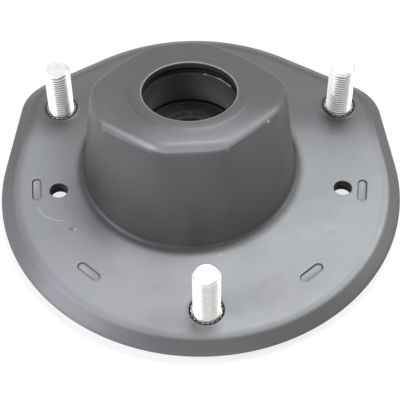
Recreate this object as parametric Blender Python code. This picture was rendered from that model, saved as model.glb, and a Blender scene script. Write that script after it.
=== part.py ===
"""Front strut mount with a tilted tower, three pressed-in studs and a sealed ball bearing.

A pressed upper plate carries the tower, a lower plate is welded under it, and between the two a
rubber cushion holds the pressed housing of the bearing that the strut rod is bolted to.

Metres, +Z up. The origin lies under the middle of the plate, level with the undersides of the
stud heads, on which the mount stands. The front of the plate is at -Y. The tower's top and the
bearing share one axis, which leans towards +Y.
"""

import math

import bmesh
import bpy
from mathutils import Matrix, Vector

MM = 0.001

# Sheets and the gap between pieces that touch
SHEET = 3.0 * MM
LOWER_SHEET = 3.0 * MM
HOUSING_SHEET = 2.4 * MM
SEAT_GAP = 0.3 * MM
SHEET_EDGE_BREAK = 0.4 * MM

# Plate outline seen from above: a front arc, two tapering sides, two corners and a bowed back,
# which reaches that far behind the centre of the front arc
FRONT_RADIUS = 90.7 * MM
BACK_REACH = 93.1 * MM
SIDE_TAPER = math.radians(7.2)
BACK_SLOPE = math.radians(31.0)
BACK_RADIUS = 86.0 * MM
BACK_CENTRE_X = -3.0 * MM
CORNER_RADIUS = 23.0 * MM

# Rim that turns down all round the upper plate
RIM_RUN = 7.0 * MM
RIM_DROP = 5.5 * MM
RIM_ROUND = 7.5 * MM

# Tower: round at its foot, eight-sided at its tilted top
TILT = math.radians(9.76)
TOWER_HEIGHT = 46.0 * MM
HOLE_CENTRE_X = -4.6 * MM
HOLE_CENTRE_Y = 10.3 * MM
HOLE_RADIUS = 20.6 * MM
RING_RADIUS = 25.5 * MM
RING_STEP = 0.6 * MM
RING_STEP_RUN = 1.2 * MM
TOP_FALL = 1.6 * MM
SHOULDER_ROUND = 5.0 * MM
FOOT_CENTRE_X = -5.0 * MM
FOOT_CENTRE_Y = 7.6 * MM
FOOT_RADIUS = 45.6 * MM
FOOT_ROUND = 6.0 * MM

# Flat sides of the tower's top: the direction each one faces and its distance from the hole's axis
TOWER_SIDES = (
    (math.radians(-86.1), 35.1 * MM),
    (math.radians(-44.6), 34.5 * MM),
    (math.radians(-7.1), 41.0 * MM),
    (math.radians(48.0), 36.9 * MM),
    (math.radians(96.7), 40.3 * MM),
    (math.radians(139.4), 39.2 * MM),
    (math.radians(188.9), 42.4 * MM),
    (math.radians(232.8), 36.2 * MM),
)

# How crisp the corners between the sides are; those at the front are crisper than those behind
SIDE_CRISPNESS = 20.0
FRONT_CRISPNESS_GAIN = 12.0

# Studs: M12 thread, serrated neck through both plates, flat round head below
STUD_SIDE_EDGE = 25.2 * MM
STUD_BACK_EDGE = 49.4 * MM
STUD_FRONT_X = 2.0 * MM
STUD_FRONT_EDGE = 19.7 * MM
THREAD_RADIUS = 6.0 * MM
STUD_REACH = 26.5 * MM
STUD_END_CHAMFER = 1.2 * MM
NECK_RADIUS = 7.2 * MM
NECK_TOOTH = 0.4 * MM
NECK_TEETH = 20
NECK_PROUD = 0.3 * MM
HEAD_RADIUS = 8.6 * MM
HEAD_THICKNESS = 2.8 * MM
HEAD_CHAMFER = 0.5 * MM

# Jig holes through both plates and shallow pressed marks in the flange; each mark has its
# distance from the plate's round edge and its direction
JIG_HOLE_OFFSET = 2.75 * MM
JIG_HOLE_Y = -7.2 * MM
JIG_HOLE_RADIUS = 4.0 * MM
MARK_LENGTH = 12.8 * MM
MARK_WIDTH = 4.6 * MM
MARK_DEPTH = 0.8 * MM
MARK_PLACES = (
    (17.6 * MM, math.radians(-6.8)),
    (19.5 * MM, math.radians(-48.5)),
    (19.8 * MM, math.radians(-133.1)),
    (16.5 * MM, math.radians(-175.0)),
)

# Sealed ball bearing on the tower's axis
BORE_RADIUS = 8.5 * MM
BEARING_RADIUS = 23.5 * MM
BEARING_WIDTH = 14.0 * MM
BEARING_DEPTH = 21.0 * MM
BALL_RADIUS = 4.35 * MM
BALL_COUNT = 7
RACE_SHOULDER = 3.5 * MM
RACE_CHAMFER = 0.8 * MM
SEAL_THICKNESS = 1.0 * MM
SEAL_INSET = 0.3 * MM
SEAL_BITE = 1.3 * MM
CAGE_THICKNESS = 2.2 * MM
CAGE_SIDE_BAR = 0.8 * MM

# Pressed housing round the bearing: a tube above, a seat, and a flange at its lower end
HOUSING_TOP_DEPTH = 5.6 * MM
HOUSING_BRIM = 4.3 * MM
HOUSING_BEND = 1.0 * MM

# Rubber cushion and the dish of the lower plate that closes it
CUSHION_MOUTH_CLEARANCE = 1.0 * MM
REBOUND_RUBBER = 4.8 * MM
DISH_OVERLAP = 0.5 * MM
DISH_BRIM = 6.5 * MM
REBOUND_STEP = 1.5 * MM
DISH_FOOT_INSET = 6.5 * MM
DISH_ROUND = 3.5 * MM
LOWER_PLATE_INSET = 9.0 * MM

# Fineness of the round shapes
FRONT_STEPS = 26
CORNER_STEPS = 5
BACK_STEPS = 8
STRAIGHT_STEPS = 3
ROUND_STEPS = 3
WALL_STEPS = 3
SPIN_STEPS = 28
STUD_POINTS = 2 * NECK_TEETH
HOLE_POINTS = 18
POCKET_POINTS = 12
GROOVE_STEPS = 4
BALL_SEGMENTS = 10
BALL_RINGS = 7

# Places and levels that follow from the sizes above
PLATE_DEPTH = FRONT_RADIUS + BACK_REACH
FRONT_CENTRE_Y = FRONT_RADIUS - 0.5 * PLATE_DEPTH
BACK_POINT_Y = 0.5 * PLATE_DEPTH + BACK_RADIUS * (1.0 / math.cos(BACK_SLOPE) - 1.0)
LOWER_PLATE_TOP = HEAD_THICKNESS + SEAT_GAP + LOWER_SHEET
FLANGE_TOP = LOWER_PLATE_TOP + SEAT_GAP + SHEET
STRUT_AXIS = (
    Matrix.Translation((HOLE_CENTRE_X, HOLE_CENTRE_Y, FLANGE_TOP + TOWER_HEIGHT))
    @ Matrix.Rotation(-TILT, 4, "X")
)
STUD_BACK_X = FRONT_RADIUS - STUD_SIDE_EDGE
STUD_BACK_Y = 0.5 * PLATE_DEPTH - STUD_BACK_EDGE
STUD_FRONT_Y = STUD_FRONT_EDGE - 0.5 * PLATE_DEPTH
FLANGE_MIDDLE = 0.5 * (FOOT_RADIUS + FOOT_ROUND + FRONT_RADIUS - LOWER_PLATE_INSET)
JIG_HOLE_X = FLANGE_MIDDLE - JIG_HOLE_OFFSET
HOUSING_BORE = BEARING_RADIUS + SEAT_GAP
HOUSING_FLANGE_RADIUS = HOUSING_BORE + HOUSING_SHEET + HOUSING_BEND + HOUSING_BRIM
CUSHION_MOUTH_RADIUS = HOLE_RADIUS + CUSHION_MOUTH_CLEARANCE
DISH_RADIUS = HOUSING_FLANGE_RADIUS + DISH_OVERLAP
DISH_MOUTH_RADIUS = DISH_RADIUS - DISH_BRIM
REBOUND_MOUTH_RADIUS = DISH_MOUTH_RADIUS + REBOUND_STEP
HOUSING_SEAT_DEPTH = BEARING_DEPTH - SEAT_GAP
HOUSING_FLANGE_DEPTH = BEARING_DEPTH + BEARING_WIDTH
DISH_DEPTH = HOUSING_FLANGE_DEPTH + HOUSING_SHEET + REBOUND_RUBBER + 2.0 * SEAT_GAP
DISH_FOOT_RADIUS = FOOT_RADIUS - DISH_FOOT_INSET
PITCH_RADIUS = 0.5 * (BORE_RADIUS + BEARING_RADIUS)
GROOVE_RADIUS = BALL_RADIUS + SEAT_GAP

# Finishes: base colour, roughness, metallic
FINISHES = {
    "black_coat": ((0.060, 0.060, 0.065), 0.42, 0.0),
    "rubber": ((0.018, 0.018, 0.018), 0.75, 0.0),
    "zinc": ((0.78, 0.79, 0.78), 0.28, 1.0),
    "bearing_steel": ((0.42, 0.42, 0.43), 0.25, 1.0),
    "dark_steel": ((0.10, 0.10, 0.10), 0.45, 1.0),
    "cage_plastic": ((0.16, 0.13, 0.10), 0.50, 0.0),
}


def clear_scene():
    """Remove whatever the scene holds."""
    for obj in list(bpy.data.objects):
        bpy.data.objects.remove(obj, do_unlink=True)


def finish(name):
    """Return the material of that name, made once from FINISHES."""
    material = bpy.data.materials.get(name)
    if material is None:
        colour, roughness, metallic = FINISHES[name]
        material = bpy.data.materials.new(name)
        material.use_nodes = True
        shader = material.node_tree.nodes["Principled BSDF"]
        shader.inputs["Base Color"].default_value = (*colour, 1.0)
        shader.inputs["Roughness"].default_value = roughness
        shader.inputs["Metallic"].default_value = metallic
    return material


def add_empty(name, matrix, parent=None):
    """Add an empty that carries pieces on one axis."""
    empty = bpy.data.objects.new(name, None)
    empty.empty_display_size = 0.02
    empty.parent = parent
    empty.matrix_local = matrix
    bpy.context.scene.collection.objects.link(empty)
    return empty


def add_object(name, bm, material, parent=None, matrix=None):
    """Turn a bmesh into a smooth shaded object, placed by its parent and matrix."""
    mesh = bpy.data.meshes.new(name)
    bm.to_mesh(mesh)
    bm.free()
    mesh.shade_smooth()
    mesh.set_sharp_from_angle(angle=math.radians(35.0))
    mesh.materials.append(finish(material))
    obj = bpy.data.objects.new(name, mesh)
    obj.parent = parent
    if matrix is not None:
        obj.matrix_local = matrix
    bpy.context.scene.collection.objects.link(obj)
    return obj


def add_cutter(name, bm):
    """Keep a bmesh as a hidden cutting shape."""
    cutter = add_object(name, bm, "dark_steel")
    cutter.display_type = "WIRE"
    cutter.hide_render = True
    return cutter


def cut(obj, cutter):
    """Subtract a cutter from an object with a Boolean modifier."""
    boolean = obj.modifiers.new("cut " + cutter.name, "BOOLEAN")
    boolean.operation = "DIFFERENCE"
    boolean.solver = "EXACT"
    boolean.object = cutter


def thicken(obj, thickness):
    """Give a skin its sheet thickness on the side away from its normals."""
    solid = obj.modifiers.new("sheet", "SOLIDIFY")
    solid.thickness = thickness
    solid.offset = -1.0
    solid.use_even_offset = True
    solid.use_quality_normals = True


def break_edges(obj):
    """Break the sharp edges of a cut sheet."""
    bevel = obj.modifiers.new("broken edges", "BEVEL")
    bevel.width = SHEET_EDGE_BREAK
    bevel.segments = 1
    bevel.limit_method = "ANGLE"
    bevel.angle_limit = math.radians(65.0)


def round_corner(before, corner, after, radius, steps):
    """Return the points of an arc that rounds a corner between two straight runs."""
    towards_before = (before - corner).normalized()
    towards_after = (after - corner).normalized()
    half_angle = 0.5 * towards_before.angle(towards_after)
    bisector = (towards_before + towards_after).normalized()
    centre = corner + bisector * (radius / math.sin(half_angle))
    first = corner + towards_before * (radius / math.tan(half_angle)) - centre
    last = corner + towards_after * (radius / math.tan(half_angle)) - centre
    sweep = first.angle(last)
    points = []
    for step in range(steps + 1):
        share = step / steps
        near = math.sin((1.0 - share) * sweep) / math.sin(sweep)
        far = math.sin(share * sweep) / math.sin(sweep)
        points.append(centre + first * near + last * far)
    return points


def meeting_point(line_a, line_b):
    """Return where two lines meet; a line is the angle of its normal and its offset along it."""
    angle_a, offset_a = line_a
    angle_b, offset_b = line_b
    turn = math.sin(angle_b - angle_a)
    x = (offset_a * math.sin(angle_b) - offset_b * math.sin(angle_a)) / turn
    y = (offset_b * math.cos(angle_a) - offset_a * math.cos(angle_b)) / turn
    return Vector((x, y, 0.0))


def line_through(angle, x, y, inset):
    """Return the line with that normal angle through a point, moved inwards by an inset."""
    return angle, x * math.cos(angle) + y * math.sin(angle) - inset


def straight_points(start, end):
    """Return the points that divide a straight run of the outline."""
    return [start.lerp(end, step / STRAIGHT_STEPS) for step in range(1, STRAIGHT_STEPS)]


def plate_outline(inset):
    """Return the plate's outline moved inwards by an inset, anticlockwise from the left side."""
    radius = FRONT_RADIUS - inset
    arc_start = math.pi - SIDE_TAPER
    arc_sweep = math.pi + 2.0 * SIDE_TAPER
    points = []
    for step in range(FRONT_STEPS + 1):
        angle = arc_start + arc_sweep * step / FRONT_STEPS
        points.append(Vector((radius * math.cos(angle), FRONT_CENTRE_Y + radius * math.sin(angle), 0.0)))
    left_end, right_end = points[0], points[-1]
    right_side = line_through(SIDE_TAPER, right_end.x, right_end.y, 0.0)
    left_side = line_through(math.pi - SIDE_TAPER, left_end.x, left_end.y, 0.0)
    right_back = line_through(0.5 * math.pi - BACK_SLOPE, BACK_CENTRE_X, BACK_POINT_Y, inset)
    left_back = line_through(0.5 * math.pi + BACK_SLOPE, BACK_CENTRE_X, BACK_POINT_Y, inset)
    right_corner = meeting_point(right_side, right_back)
    back_point = meeting_point(right_back, left_back)
    left_corner = meeting_point(left_back, left_side)
    corner_radius = CORNER_RADIUS - inset
    arcs = (
        round_corner(right_end, right_corner, back_point, corner_radius, CORNER_STEPS),
        round_corner(right_corner, back_point, left_corner, BACK_RADIUS - inset, BACK_STEPS),
        round_corner(back_point, left_corner, left_end, corner_radius, CORNER_STEPS),
    )
    for arc in arcs:
        points += straight_points(points[-1], arc[0])
        points += arc
    return points + straight_points(points[-1], left_end)


def at_level(points, z):
    """Return a flat ring of points lifted to a level."""
    return [Vector((point.x, point.y, z)) for point in points]


def side_corner_angles():
    """Return the directions, seen from the hole's axis, of the eight corners of the tower's top."""
    angles = []
    for index, side in enumerate(TOWER_SIDES):
        following = TOWER_SIDES[(index + 1) % len(TOWER_SIDES)]
        corner = meeting_point(side, following)
        angles.append(math.atan2(corner.y, corner.x))
    return sorted(angles)


def tower_angles():
    """Return the angles of the tower's meridians: three at each corner and two on each side."""
    corner_spread = math.radians(5.0)
    corners = side_corner_angles()
    angles = []
    for index, corner in enumerate(corners):
        following = corners[(index + 1) % len(corners)]
        if following < corner:
            following += 2.0 * math.pi
        angles += [corner - corner_spread, corner, corner + corner_spread]
        start = corner + corner_spread
        span = following - corner - 2.0 * corner_spread
        angles += [start + span / 3.0, start + span * 2.0 / 3.0]
    return angles


def top_radius(angle, inset):
    """Return how far the rounded eight-sided outline lies from the hole's axis in a direction."""
    crispness = SIDE_CRISPNESS - FRONT_CRISPNESS_GAIN * math.sin(angle)
    total = 0.0
    for facing, distance in TOWER_SIDES:
        share = max(0.0, math.cos(angle - facing)) / (distance - inset)
        total += (share * MM) ** crispness
    return MM * total ** (-1.0 / crispness)


def on_axis_ring(radius, depth, angle):
    """Return a point at a radius and depth below the tower's top, in the strut axis's frame."""
    return STRUT_AXIS @ Vector((radius * math.cos(angle), radius * math.sin(angle), -depth))


def foot_point(radius, angle, z):
    """Return a point on a level circle round the tower's foot."""
    return Vector((
        FOOT_CENTRE_X + radius * math.cos(angle),
        FOOT_CENTRE_Y + radius * math.sin(angle),
        z,
    ))


def wall_points(top, foot):
    """Return the points that divide the tower's wall between its two rounded ends."""
    return [top.lerp(foot, step / WALL_STEPS) for step in range(1, WALL_STEPS)]


def tower_meridian(angle):
    """Return the points of the tower's outer skin in one direction, from the hole to the flange."""
    ring_edge = on_axis_ring(RING_RADIUS, 0.0, angle)
    ring_foot = on_axis_ring(RING_RADIUS + RING_STEP_RUN, RING_STEP, angle)
    shoulder = on_axis_ring(top_radius(angle, 0.0), TOP_FALL, angle)
    foot = foot_point(FOOT_RADIUS, angle, FLANGE_TOP)
    flange = foot_point(2.0 * FOOT_RADIUS, angle, FLANGE_TOP)
    shoulder_arc = round_corner(ring_foot, shoulder, foot, SHOULDER_ROUND, ROUND_STEPS)
    foot_arc = round_corner(shoulder, foot, flange, FOOT_ROUND, ROUND_STEPS)
    wall = wall_points(shoulder_arc[-1], foot_arc[0])
    hole_edge = on_axis_ring(HOLE_RADIUS, 0.0, angle)
    return [hole_edge, ring_edge, ring_foot, *shoulder_arc, *wall, *foot_arc]


def join_rings(bm, inner, outer):
    """Make faces between two rings of as many vertices, facing up where outer is outside."""
    count = len(inner)
    for index in range(count):
        after = (index + 1) % count
        bm.faces.new((inner[index], outer[index], outer[after], inner[after]))


def turn_about(vertex, centre):
    """Return the direction of a vertex seen from a centre, from 0 to a full turn."""
    return math.atan2(vertex.co.y - centre.y, vertex.co.x - centre.x) % (2.0 * math.pi)


def join_flat_rings(bm, inner, outer, centre):
    """Fill the flat band between two rings of different counts, seen from a centre."""
    inner = sorted(inner, key=lambda vertex: turn_about(vertex, centre))
    outer = sorted(outer, key=lambda vertex: turn_about(vertex, centre))
    in_turns = [turn_about(vertex, centre) for vertex in inner]
    out_turns = [turn_about(vertex, centre) for vertex in outer]
    in_turns.append(in_turns[0] + 2.0 * math.pi)
    out_turns.append(out_turns[0] + 2.0 * math.pi)
    i = 0
    j = 0
    while i < len(inner) or j < len(outer):
        near = inner[i % len(inner)]
        far = outer[j % len(outer)]
        step_inner = j == len(outer) or (i < len(inner) and in_turns[i + 1] < out_turns[j + 1])
        if step_inner:
            bm.faces.new((near, far, inner[(i + 1) % len(inner)]))
            i += 1
        else:
            bm.faces.new((near, far, outer[(j + 1) % len(outer)]))
            j += 1


def add_rings(bm, rings):
    """Add rings of points as vertices and join each ring to the next."""
    vertices = [[bm.verts.new(point) for point in ring] for ring in rings]
    for inner, outer in zip(vertices, vertices[1:]):
        join_rings(bm, inner, outer)
    return vertices


def split_faces(bm):
    """Split each face along its shorter diagonal, so that neighbouring skins fold alike."""
    bmesh.ops.triangulate(bm, faces=bm.faces, quad_method="SHORT_EDGE")


def rim_rings():
    """Return the rings of the turned-down rim, from the flat flange to the cut edge."""
    flat = Vector((2.0 * RIM_RUN, 0.0, 0.0))
    bend = Vector((RIM_RUN, 0.0, 0.0))
    edge = Vector((0.0, 0.0, -RIM_DROP))
    section = [*round_corner(flat, bend, edge, RIM_ROUND, ROUND_STEPS), edge]
    return [at_level(plate_outline(point.x), FLANGE_TOP + point.z) for point in section]


def stadium(length, width, z, points_per_end=7):
    """Return the ring of points of a slot with round ends, lying along X."""
    radius = 0.5 * width
    half_run = 0.5 * length - radius
    ring = []
    for centre_x, start in ((half_run, -0.5 * math.pi), (-half_run, 0.5 * math.pi)):
        for step in range(points_per_end):
            angle = start + math.pi * step / (points_per_end - 1)
            ring.append(Vector((centre_x + radius * math.cos(angle), radius * math.sin(angle), z)))
    return ring


def close_ends(bm, rings):
    """Close a stack of rings with a face at each end and point all faces outwards."""
    bm.faces.new(rings[0])
    bm.faces.new(rings[-1])
    bmesh.ops.recalc_face_normals(bm, faces=bm.faces)


def add_mark_cutter():
    """Add the tapered slots that press the four marks into the flange."""
    bm = bmesh.new()
    above = SHEET_EDGE_BREAK
    for edge_distance, angle in MARK_PLACES:
        radius = FRONT_RADIUS - edge_distance
        place = (
            Matrix.Translation((radius * math.cos(angle), radius * math.sin(angle), FLANGE_TOP))
            @ Matrix.Rotation(angle + 0.5 * math.pi, 4, "Z")
        )
        floor = stadium(MARK_LENGTH - 2.0 * MARK_DEPTH, MARK_WIDTH - 2.0 * MARK_DEPTH, -MARK_DEPTH)
        mouth = stadium(MARK_LENGTH + 2.0 * above, MARK_WIDTH + 2.0 * above, above)
        rings = add_rings(bm, [[place @ point for point in ring] for ring in (floor, mouth)])
        close_ends(bm, rings)
    return add_cutter("mark_cutter", bm)


def stud_places():
    """Return the name and the place of each stud."""
    return (
        ("stud_front", STUD_FRONT_X, STUD_FRONT_Y),
        ("stud_left", -STUD_BACK_X, STUD_BACK_Y),
        ("stud_right", STUD_BACK_X, STUD_BACK_Y),
    )


def add_hole_cutter():
    """Add the posts that cut the stud holes and the jig holes through both plates."""
    bm = bmesh.new()
    holes = [(x, y, NECK_RADIUS + SEAT_GAP) for _, x, y in stud_places()]
    holes += [(-JIG_HOLE_X, JIG_HOLE_Y, JIG_HOLE_RADIUS), (JIG_HOLE_X, JIG_HOLE_Y, JIG_HOLE_RADIUS)]
    for x, y, radius in holes:
        bmesh.ops.create_cone(
            bm, cap_ends=True, segments=HOLE_POINTS, radius1=radius, radius2=radius,
            depth=4.0 * FLANGE_TOP, matrix=Matrix.Translation((x, y, 0.0)),
        )
    return add_cutter("hole_cutter", bm)


def add_upper_plate(hole_cutter, mark_cutter):
    """Press the upper plate: tower, flange and rim in one sheet."""
    bm = bmesh.new()
    meridians = [tower_meridian(angle) for angle in tower_angles()]
    tower = add_rings(bm, list(zip(*meridians)))
    rim = add_rings(bm, rim_rings())
    join_flat_rings(bm, tower[-1], rim[0], foot_point(0.0, 0.0, FLANGE_TOP))
    split_faces(bm)
    plate = add_object("upper_plate", bm, "black_coat")
    thicken(plate, SHEET)
    break_edges(plate)
    cut(plate, hole_cutter)
    cut(plate, mark_cutter)
    return plate


def dish_meridian(angle, gap):
    """Return the points of the dish's upper side in one direction, from its mouth to its foot."""
    mouth = on_axis_ring(DISH_MOUTH_RADIUS, DISH_DEPTH - gap, angle)
    brim = on_axis_ring(DISH_RADIUS + gap, DISH_DEPTH - gap, angle)
    foot = foot_point(DISH_FOOT_RADIUS + gap, angle, LOWER_PLATE_TOP + gap)
    flange = foot_point(2.0 * FOOT_RADIUS, angle, LOWER_PLATE_TOP + gap)
    brim_arc = round_corner(mouth, brim, foot, DISH_ROUND, ROUND_STEPS - 1)
    foot_arc = round_corner(brim, foot, flange, DISH_ROUND, ROUND_STEPS - 1)
    return [mouth, *brim_arc, *foot_arc]


def even_angles(count):
    """Return evenly spaced angles round a full turn."""
    return [2.0 * math.pi * index / count for index in range(count)]


def add_lower_plate(hole_cutter):
    """Press the lower plate: a flat flange inside the rim with a raised dish round the axis."""
    bm = bmesh.new()
    meridians = [dish_meridian(angle, 0.0) for angle in tower_angles()]
    dish = add_rings(bm, list(zip(*meridians)))
    edge = [bm.verts.new(p) for p in at_level(plate_outline(LOWER_PLATE_INSET), LOWER_PLATE_TOP)]
    join_flat_rings(bm, dish[-1], edge, foot_point(0.0, 0.0, LOWER_PLATE_TOP))
    split_faces(bm)
    plate = add_object("lower_plate", bm, "black_coat")
    thicken(plate, LOWER_SHEET)
    cut(plate, hole_cutter)
    return plate


def cushion_meridian(angle):
    """Return the outside of the cushion in one direction, from its top to its underside."""
    wall_top = on_axis_ring(top_radius(angle, 0.0), TOP_FALL, angle)
    wall_foot = foot_point(FOOT_RADIUS, angle, FLANGE_TOP)
    run = Vector((wall_foot.x - wall_top.x, wall_foot.y - wall_top.y)).length
    lean = math.atan2(run, wall_top.z - wall_foot.z)
    inset = (SHEET + SEAT_GAP) / math.cos(lean)
    top_depth = SHEET + SEAT_GAP + TOP_FALL
    shoulder = on_axis_ring(top_radius(angle, inset), top_depth, angle)
    foot = foot_point(FOOT_RADIUS - inset, angle, LOWER_PLATE_TOP + SEAT_GAP)
    top_middle = on_axis_ring(0.5 * CUSHION_MOUTH_RADIUS, top_depth, angle)
    outside = [top_middle]
    outside += round_corner(top_middle, shoulder, foot, SHOULDER_ROUND - SHEET, ROUND_STEPS - 1)
    outside += [*wall_points(outside[-1], foot), foot]
    return outside + dish_meridian(angle, SEAT_GAP)[::-1]


def spin_profile(profile, closed=True):
    """Turn a profile of radius and height round the Z axis; an open one ends on the axis."""
    bm = bmesh.new()
    corners = [bm.verts.new((radius, 0.0, height)) for radius, height in profile]
    first = 0 if closed else 1
    edges = [bm.edges.new((corners[i - 1], corners[i])) for i in range(first, len(corners))]
    bmesh.ops.spin(
        bm, geom=corners + edges, cent=(0.0, 0.0, 0.0), axis=(0.0, 0.0, 1.0),
        angle=2.0 * math.pi, steps=SPIN_STEPS, use_merge=True,
    )
    bmesh.ops.remove_doubles(bm, verts=bm.verts, dist=0.001 * MM)
    bmesh.ops.recalc_face_normals(bm, faces=bm.faces)
    return bm


def add_cushion_cutter():
    """Add the turned shape of the space that the bearing housing takes in the cushion."""
    tube = HOLE_RADIUS + HOUSING_SHEET + SEAT_GAP
    seat = HOUSING_BORE + HOUSING_SHEET + SEAT_GAP
    brim = HOUSING_FLANGE_RADIUS + SEAT_GAP
    shoulder_depth = HOUSING_SEAT_DEPTH - HOUSING_SHEET - SEAT_GAP
    brim_top = HOUSING_FLANGE_DEPTH - SEAT_GAP
    brim_bottom = HOUSING_FLANGE_DEPTH + HOUSING_SHEET + SEAT_GAP
    profile = (
        (0.0, 0.0),
        (CUSHION_MOUTH_RADIUS, 0.0),
        (CUSHION_MOUTH_RADIUS, -(HOUSING_TOP_DEPTH - SEAT_GAP)),
        (tube, -(HOUSING_TOP_DEPTH - SEAT_GAP)),
        (tube, -shoulder_depth),
        (seat - HOUSING_BEND, -shoulder_depth),
        (seat, -(shoulder_depth + HOUSING_BEND)),
        (seat, -(brim_top - HOUSING_BEND)),
        (seat + HOUSING_BEND, -brim_top),
        (brim, -brim_top),
        (brim, -brim_bottom),
        (REBOUND_MOUTH_RADIUS, -brim_bottom),
        (REBOUND_MOUTH_RADIUS, -2.0 * DISH_DEPTH),
        (0.0, -2.0 * DISH_DEPTH),
    )
    cutter = add_cutter("cushion_cutter", spin_profile(profile, closed=False))
    cutter.matrix_local = STRUT_AXIS
    return cutter


def add_rubber_cushion():
    """Mould the cushion between the tower, the dish and the bearing housing."""
    bm = bmesh.new()
    meridians = [cushion_meridian(angle) for angle in tower_angles()]
    rings = add_rings(bm, list(zip(*meridians)))
    split_faces(bm)
    close_ends(bm, rings)
    cushion = add_object("rubber_cushion", bm, "rubber")
    cut(cushion, add_cushion_cutter())
    return cushion


def add_bearing_housing(strut_axis):
    """Press the housing: a tube below the tower's hole, a bearing seat and a flange."""
    tube_outside = HOLE_RADIUS + HOUSING_SHEET
    seat_outside = HOUSING_BORE + HOUSING_SHEET
    outer_bend = HOUSING_BEND + HOUSING_SHEET
    seat_depth = HOUSING_SEAT_DEPTH
    flange_depth = HOUSING_FLANGE_DEPTH
    profile = (
        (HOLE_RADIUS, -HOUSING_TOP_DEPTH),
        (tube_outside, -HOUSING_TOP_DEPTH),
        (tube_outside, -(seat_depth - HOUSING_SHEET)),
        (seat_outside - HOUSING_BEND, -(seat_depth - HOUSING_SHEET)),
        (seat_outside, -(seat_depth - HOUSING_SHEET + HOUSING_BEND)),
        (seat_outside, -(flange_depth - HOUSING_BEND)),
        (seat_outside + HOUSING_BEND, -flange_depth),
        (HOUSING_FLANGE_RADIUS, -flange_depth),
        (HOUSING_FLANGE_RADIUS, -(flange_depth + HOUSING_SHEET)),
        (HOUSING_BORE + outer_bend, -(flange_depth + HOUSING_SHEET)),
        (HOUSING_BORE, -(flange_depth + HOUSING_SHEET - outer_bend)),
        (HOUSING_BORE, -seat_depth),
        (HOLE_RADIUS, -seat_depth),
    )
    return add_object("bearing_housing", spin_profile(profile), "black_coat", strut_axis)


def groove(shoulder_radius):
    """Return the ball groove of a race, from its upper to its lower edge."""
    reach = shoulder_radius - PITCH_RADIUS
    half_width = math.sqrt(GROOVE_RADIUS ** 2 - reach ** 2)
    start = math.atan2(half_width, abs(reach))
    side = math.copysign(1.0, reach)
    points = []
    for step in range(GROOVE_STEPS + 1):
        angle = start * (1.0 - 2.0 * step / GROOVE_STEPS)
        radius = PITCH_RADIUS + side * GROOVE_RADIUS * math.cos(angle)
        points.append((radius, GROOVE_RADIUS * math.sin(angle)))
    return points


def seal_level():
    """Return the height, from the bearing's middle, of a seal's inner face."""
    return 0.5 * BEARING_WIDTH - SEAL_INSET - SEAL_THICKNESS


def add_outer_race(bearing_axis):
    """Turn the outer race, with its ball groove and a step at each end for a seal."""
    half = 0.5 * BEARING_WIDTH
    shoulder = PITCH_RADIUS + RACE_SHOULDER
    step_radius = shoulder + SEAL_BITE
    step_level = seal_level() - SEAT_GAP
    profile = [
        (BEARING_RADIUS, half - RACE_CHAMFER),
        (BEARING_RADIUS - RACE_CHAMFER, half),
        (step_radius, half),
        (step_radius, step_level),
        (shoulder, step_level),
        *groove(shoulder),
        (shoulder, -step_level),
        (step_radius, -step_level),
        (step_radius, -half),
        (BEARING_RADIUS - RACE_CHAMFER, -half),
        (BEARING_RADIUS, -half + RACE_CHAMFER),
    ]
    return add_object("bearing_outer_race", spin_profile(profile), "bearing_steel", bearing_axis)


def add_inner_race(turn_axis):
    """Turn the inner race, which the strut rod is clamped to."""
    half = 0.5 * BEARING_WIDTH
    shoulder = PITCH_RADIUS - RACE_SHOULDER
    profile = [
        (BORE_RADIUS, half - RACE_CHAMFER),
        (BORE_RADIUS + RACE_CHAMFER, half),
        (shoulder, half),
        *groove(shoulder),
        (shoulder, -half),
        (BORE_RADIUS + RACE_CHAMFER, -half),
        (BORE_RADIUS, -half + RACE_CHAMFER),
    ]
    return add_object("bearing_inner_race", spin_profile(profile), "dark_steel", turn_axis)


def add_seal(name, bearing_axis, side):
    """Add one seal: held in the outer race, and clear of the inner race."""
    inner = PITCH_RADIUS - RACE_SHOULDER + SEAT_GAP
    outer = PITCH_RADIUS + RACE_SHOULDER + SEAL_BITE - SEAT_GAP
    near = side * seal_level()
    far = side * (seal_level() + SEAL_THICKNESS)
    profile = ((inner, near), (inner, far), (outer, far), (outer, near))
    return add_object(name, spin_profile(profile), "rubber", bearing_axis)


def ball_angles():
    """Return the directions of the balls."""
    return even_angles(BALL_COUNT)


def add_cage(turn_axis):
    """Add the ball cage: a ring with a round pocket for each ball."""
    half = GROOVE_RADIUS + CAGE_SIDE_BAR
    inner = PITCH_RADIUS - 0.5 * CAGE_THICKNESS
    outer = PITCH_RADIUS + 0.5 * CAGE_THICKNESS
    profile = ((inner, -half), (inner, half), (outer, half), (outer, -half))
    cage = add_object("ball_cage", spin_profile(profile), "cage_plastic", turn_axis)
    bm = bmesh.new()
    for angle in ball_angles():
        place = (
            Matrix.Rotation(angle, 4, "Z")
            @ Matrix.Translation((PITCH_RADIUS, 0.0, 0.0))
            @ Matrix.Rotation(0.5 * math.pi, 4, "Y")
        )
        bmesh.ops.create_cone(
            bm, cap_ends=True, segments=POCKET_POINTS, radius1=GROOVE_RADIUS,
            radius2=GROOVE_RADIUS, depth=4.0 * CAGE_THICKNESS, matrix=place,
        )
    pockets = add_cutter("pocket_cutter", bm)
    pockets.parent = turn_axis
    cut(cage, pockets)
    return cage


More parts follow.
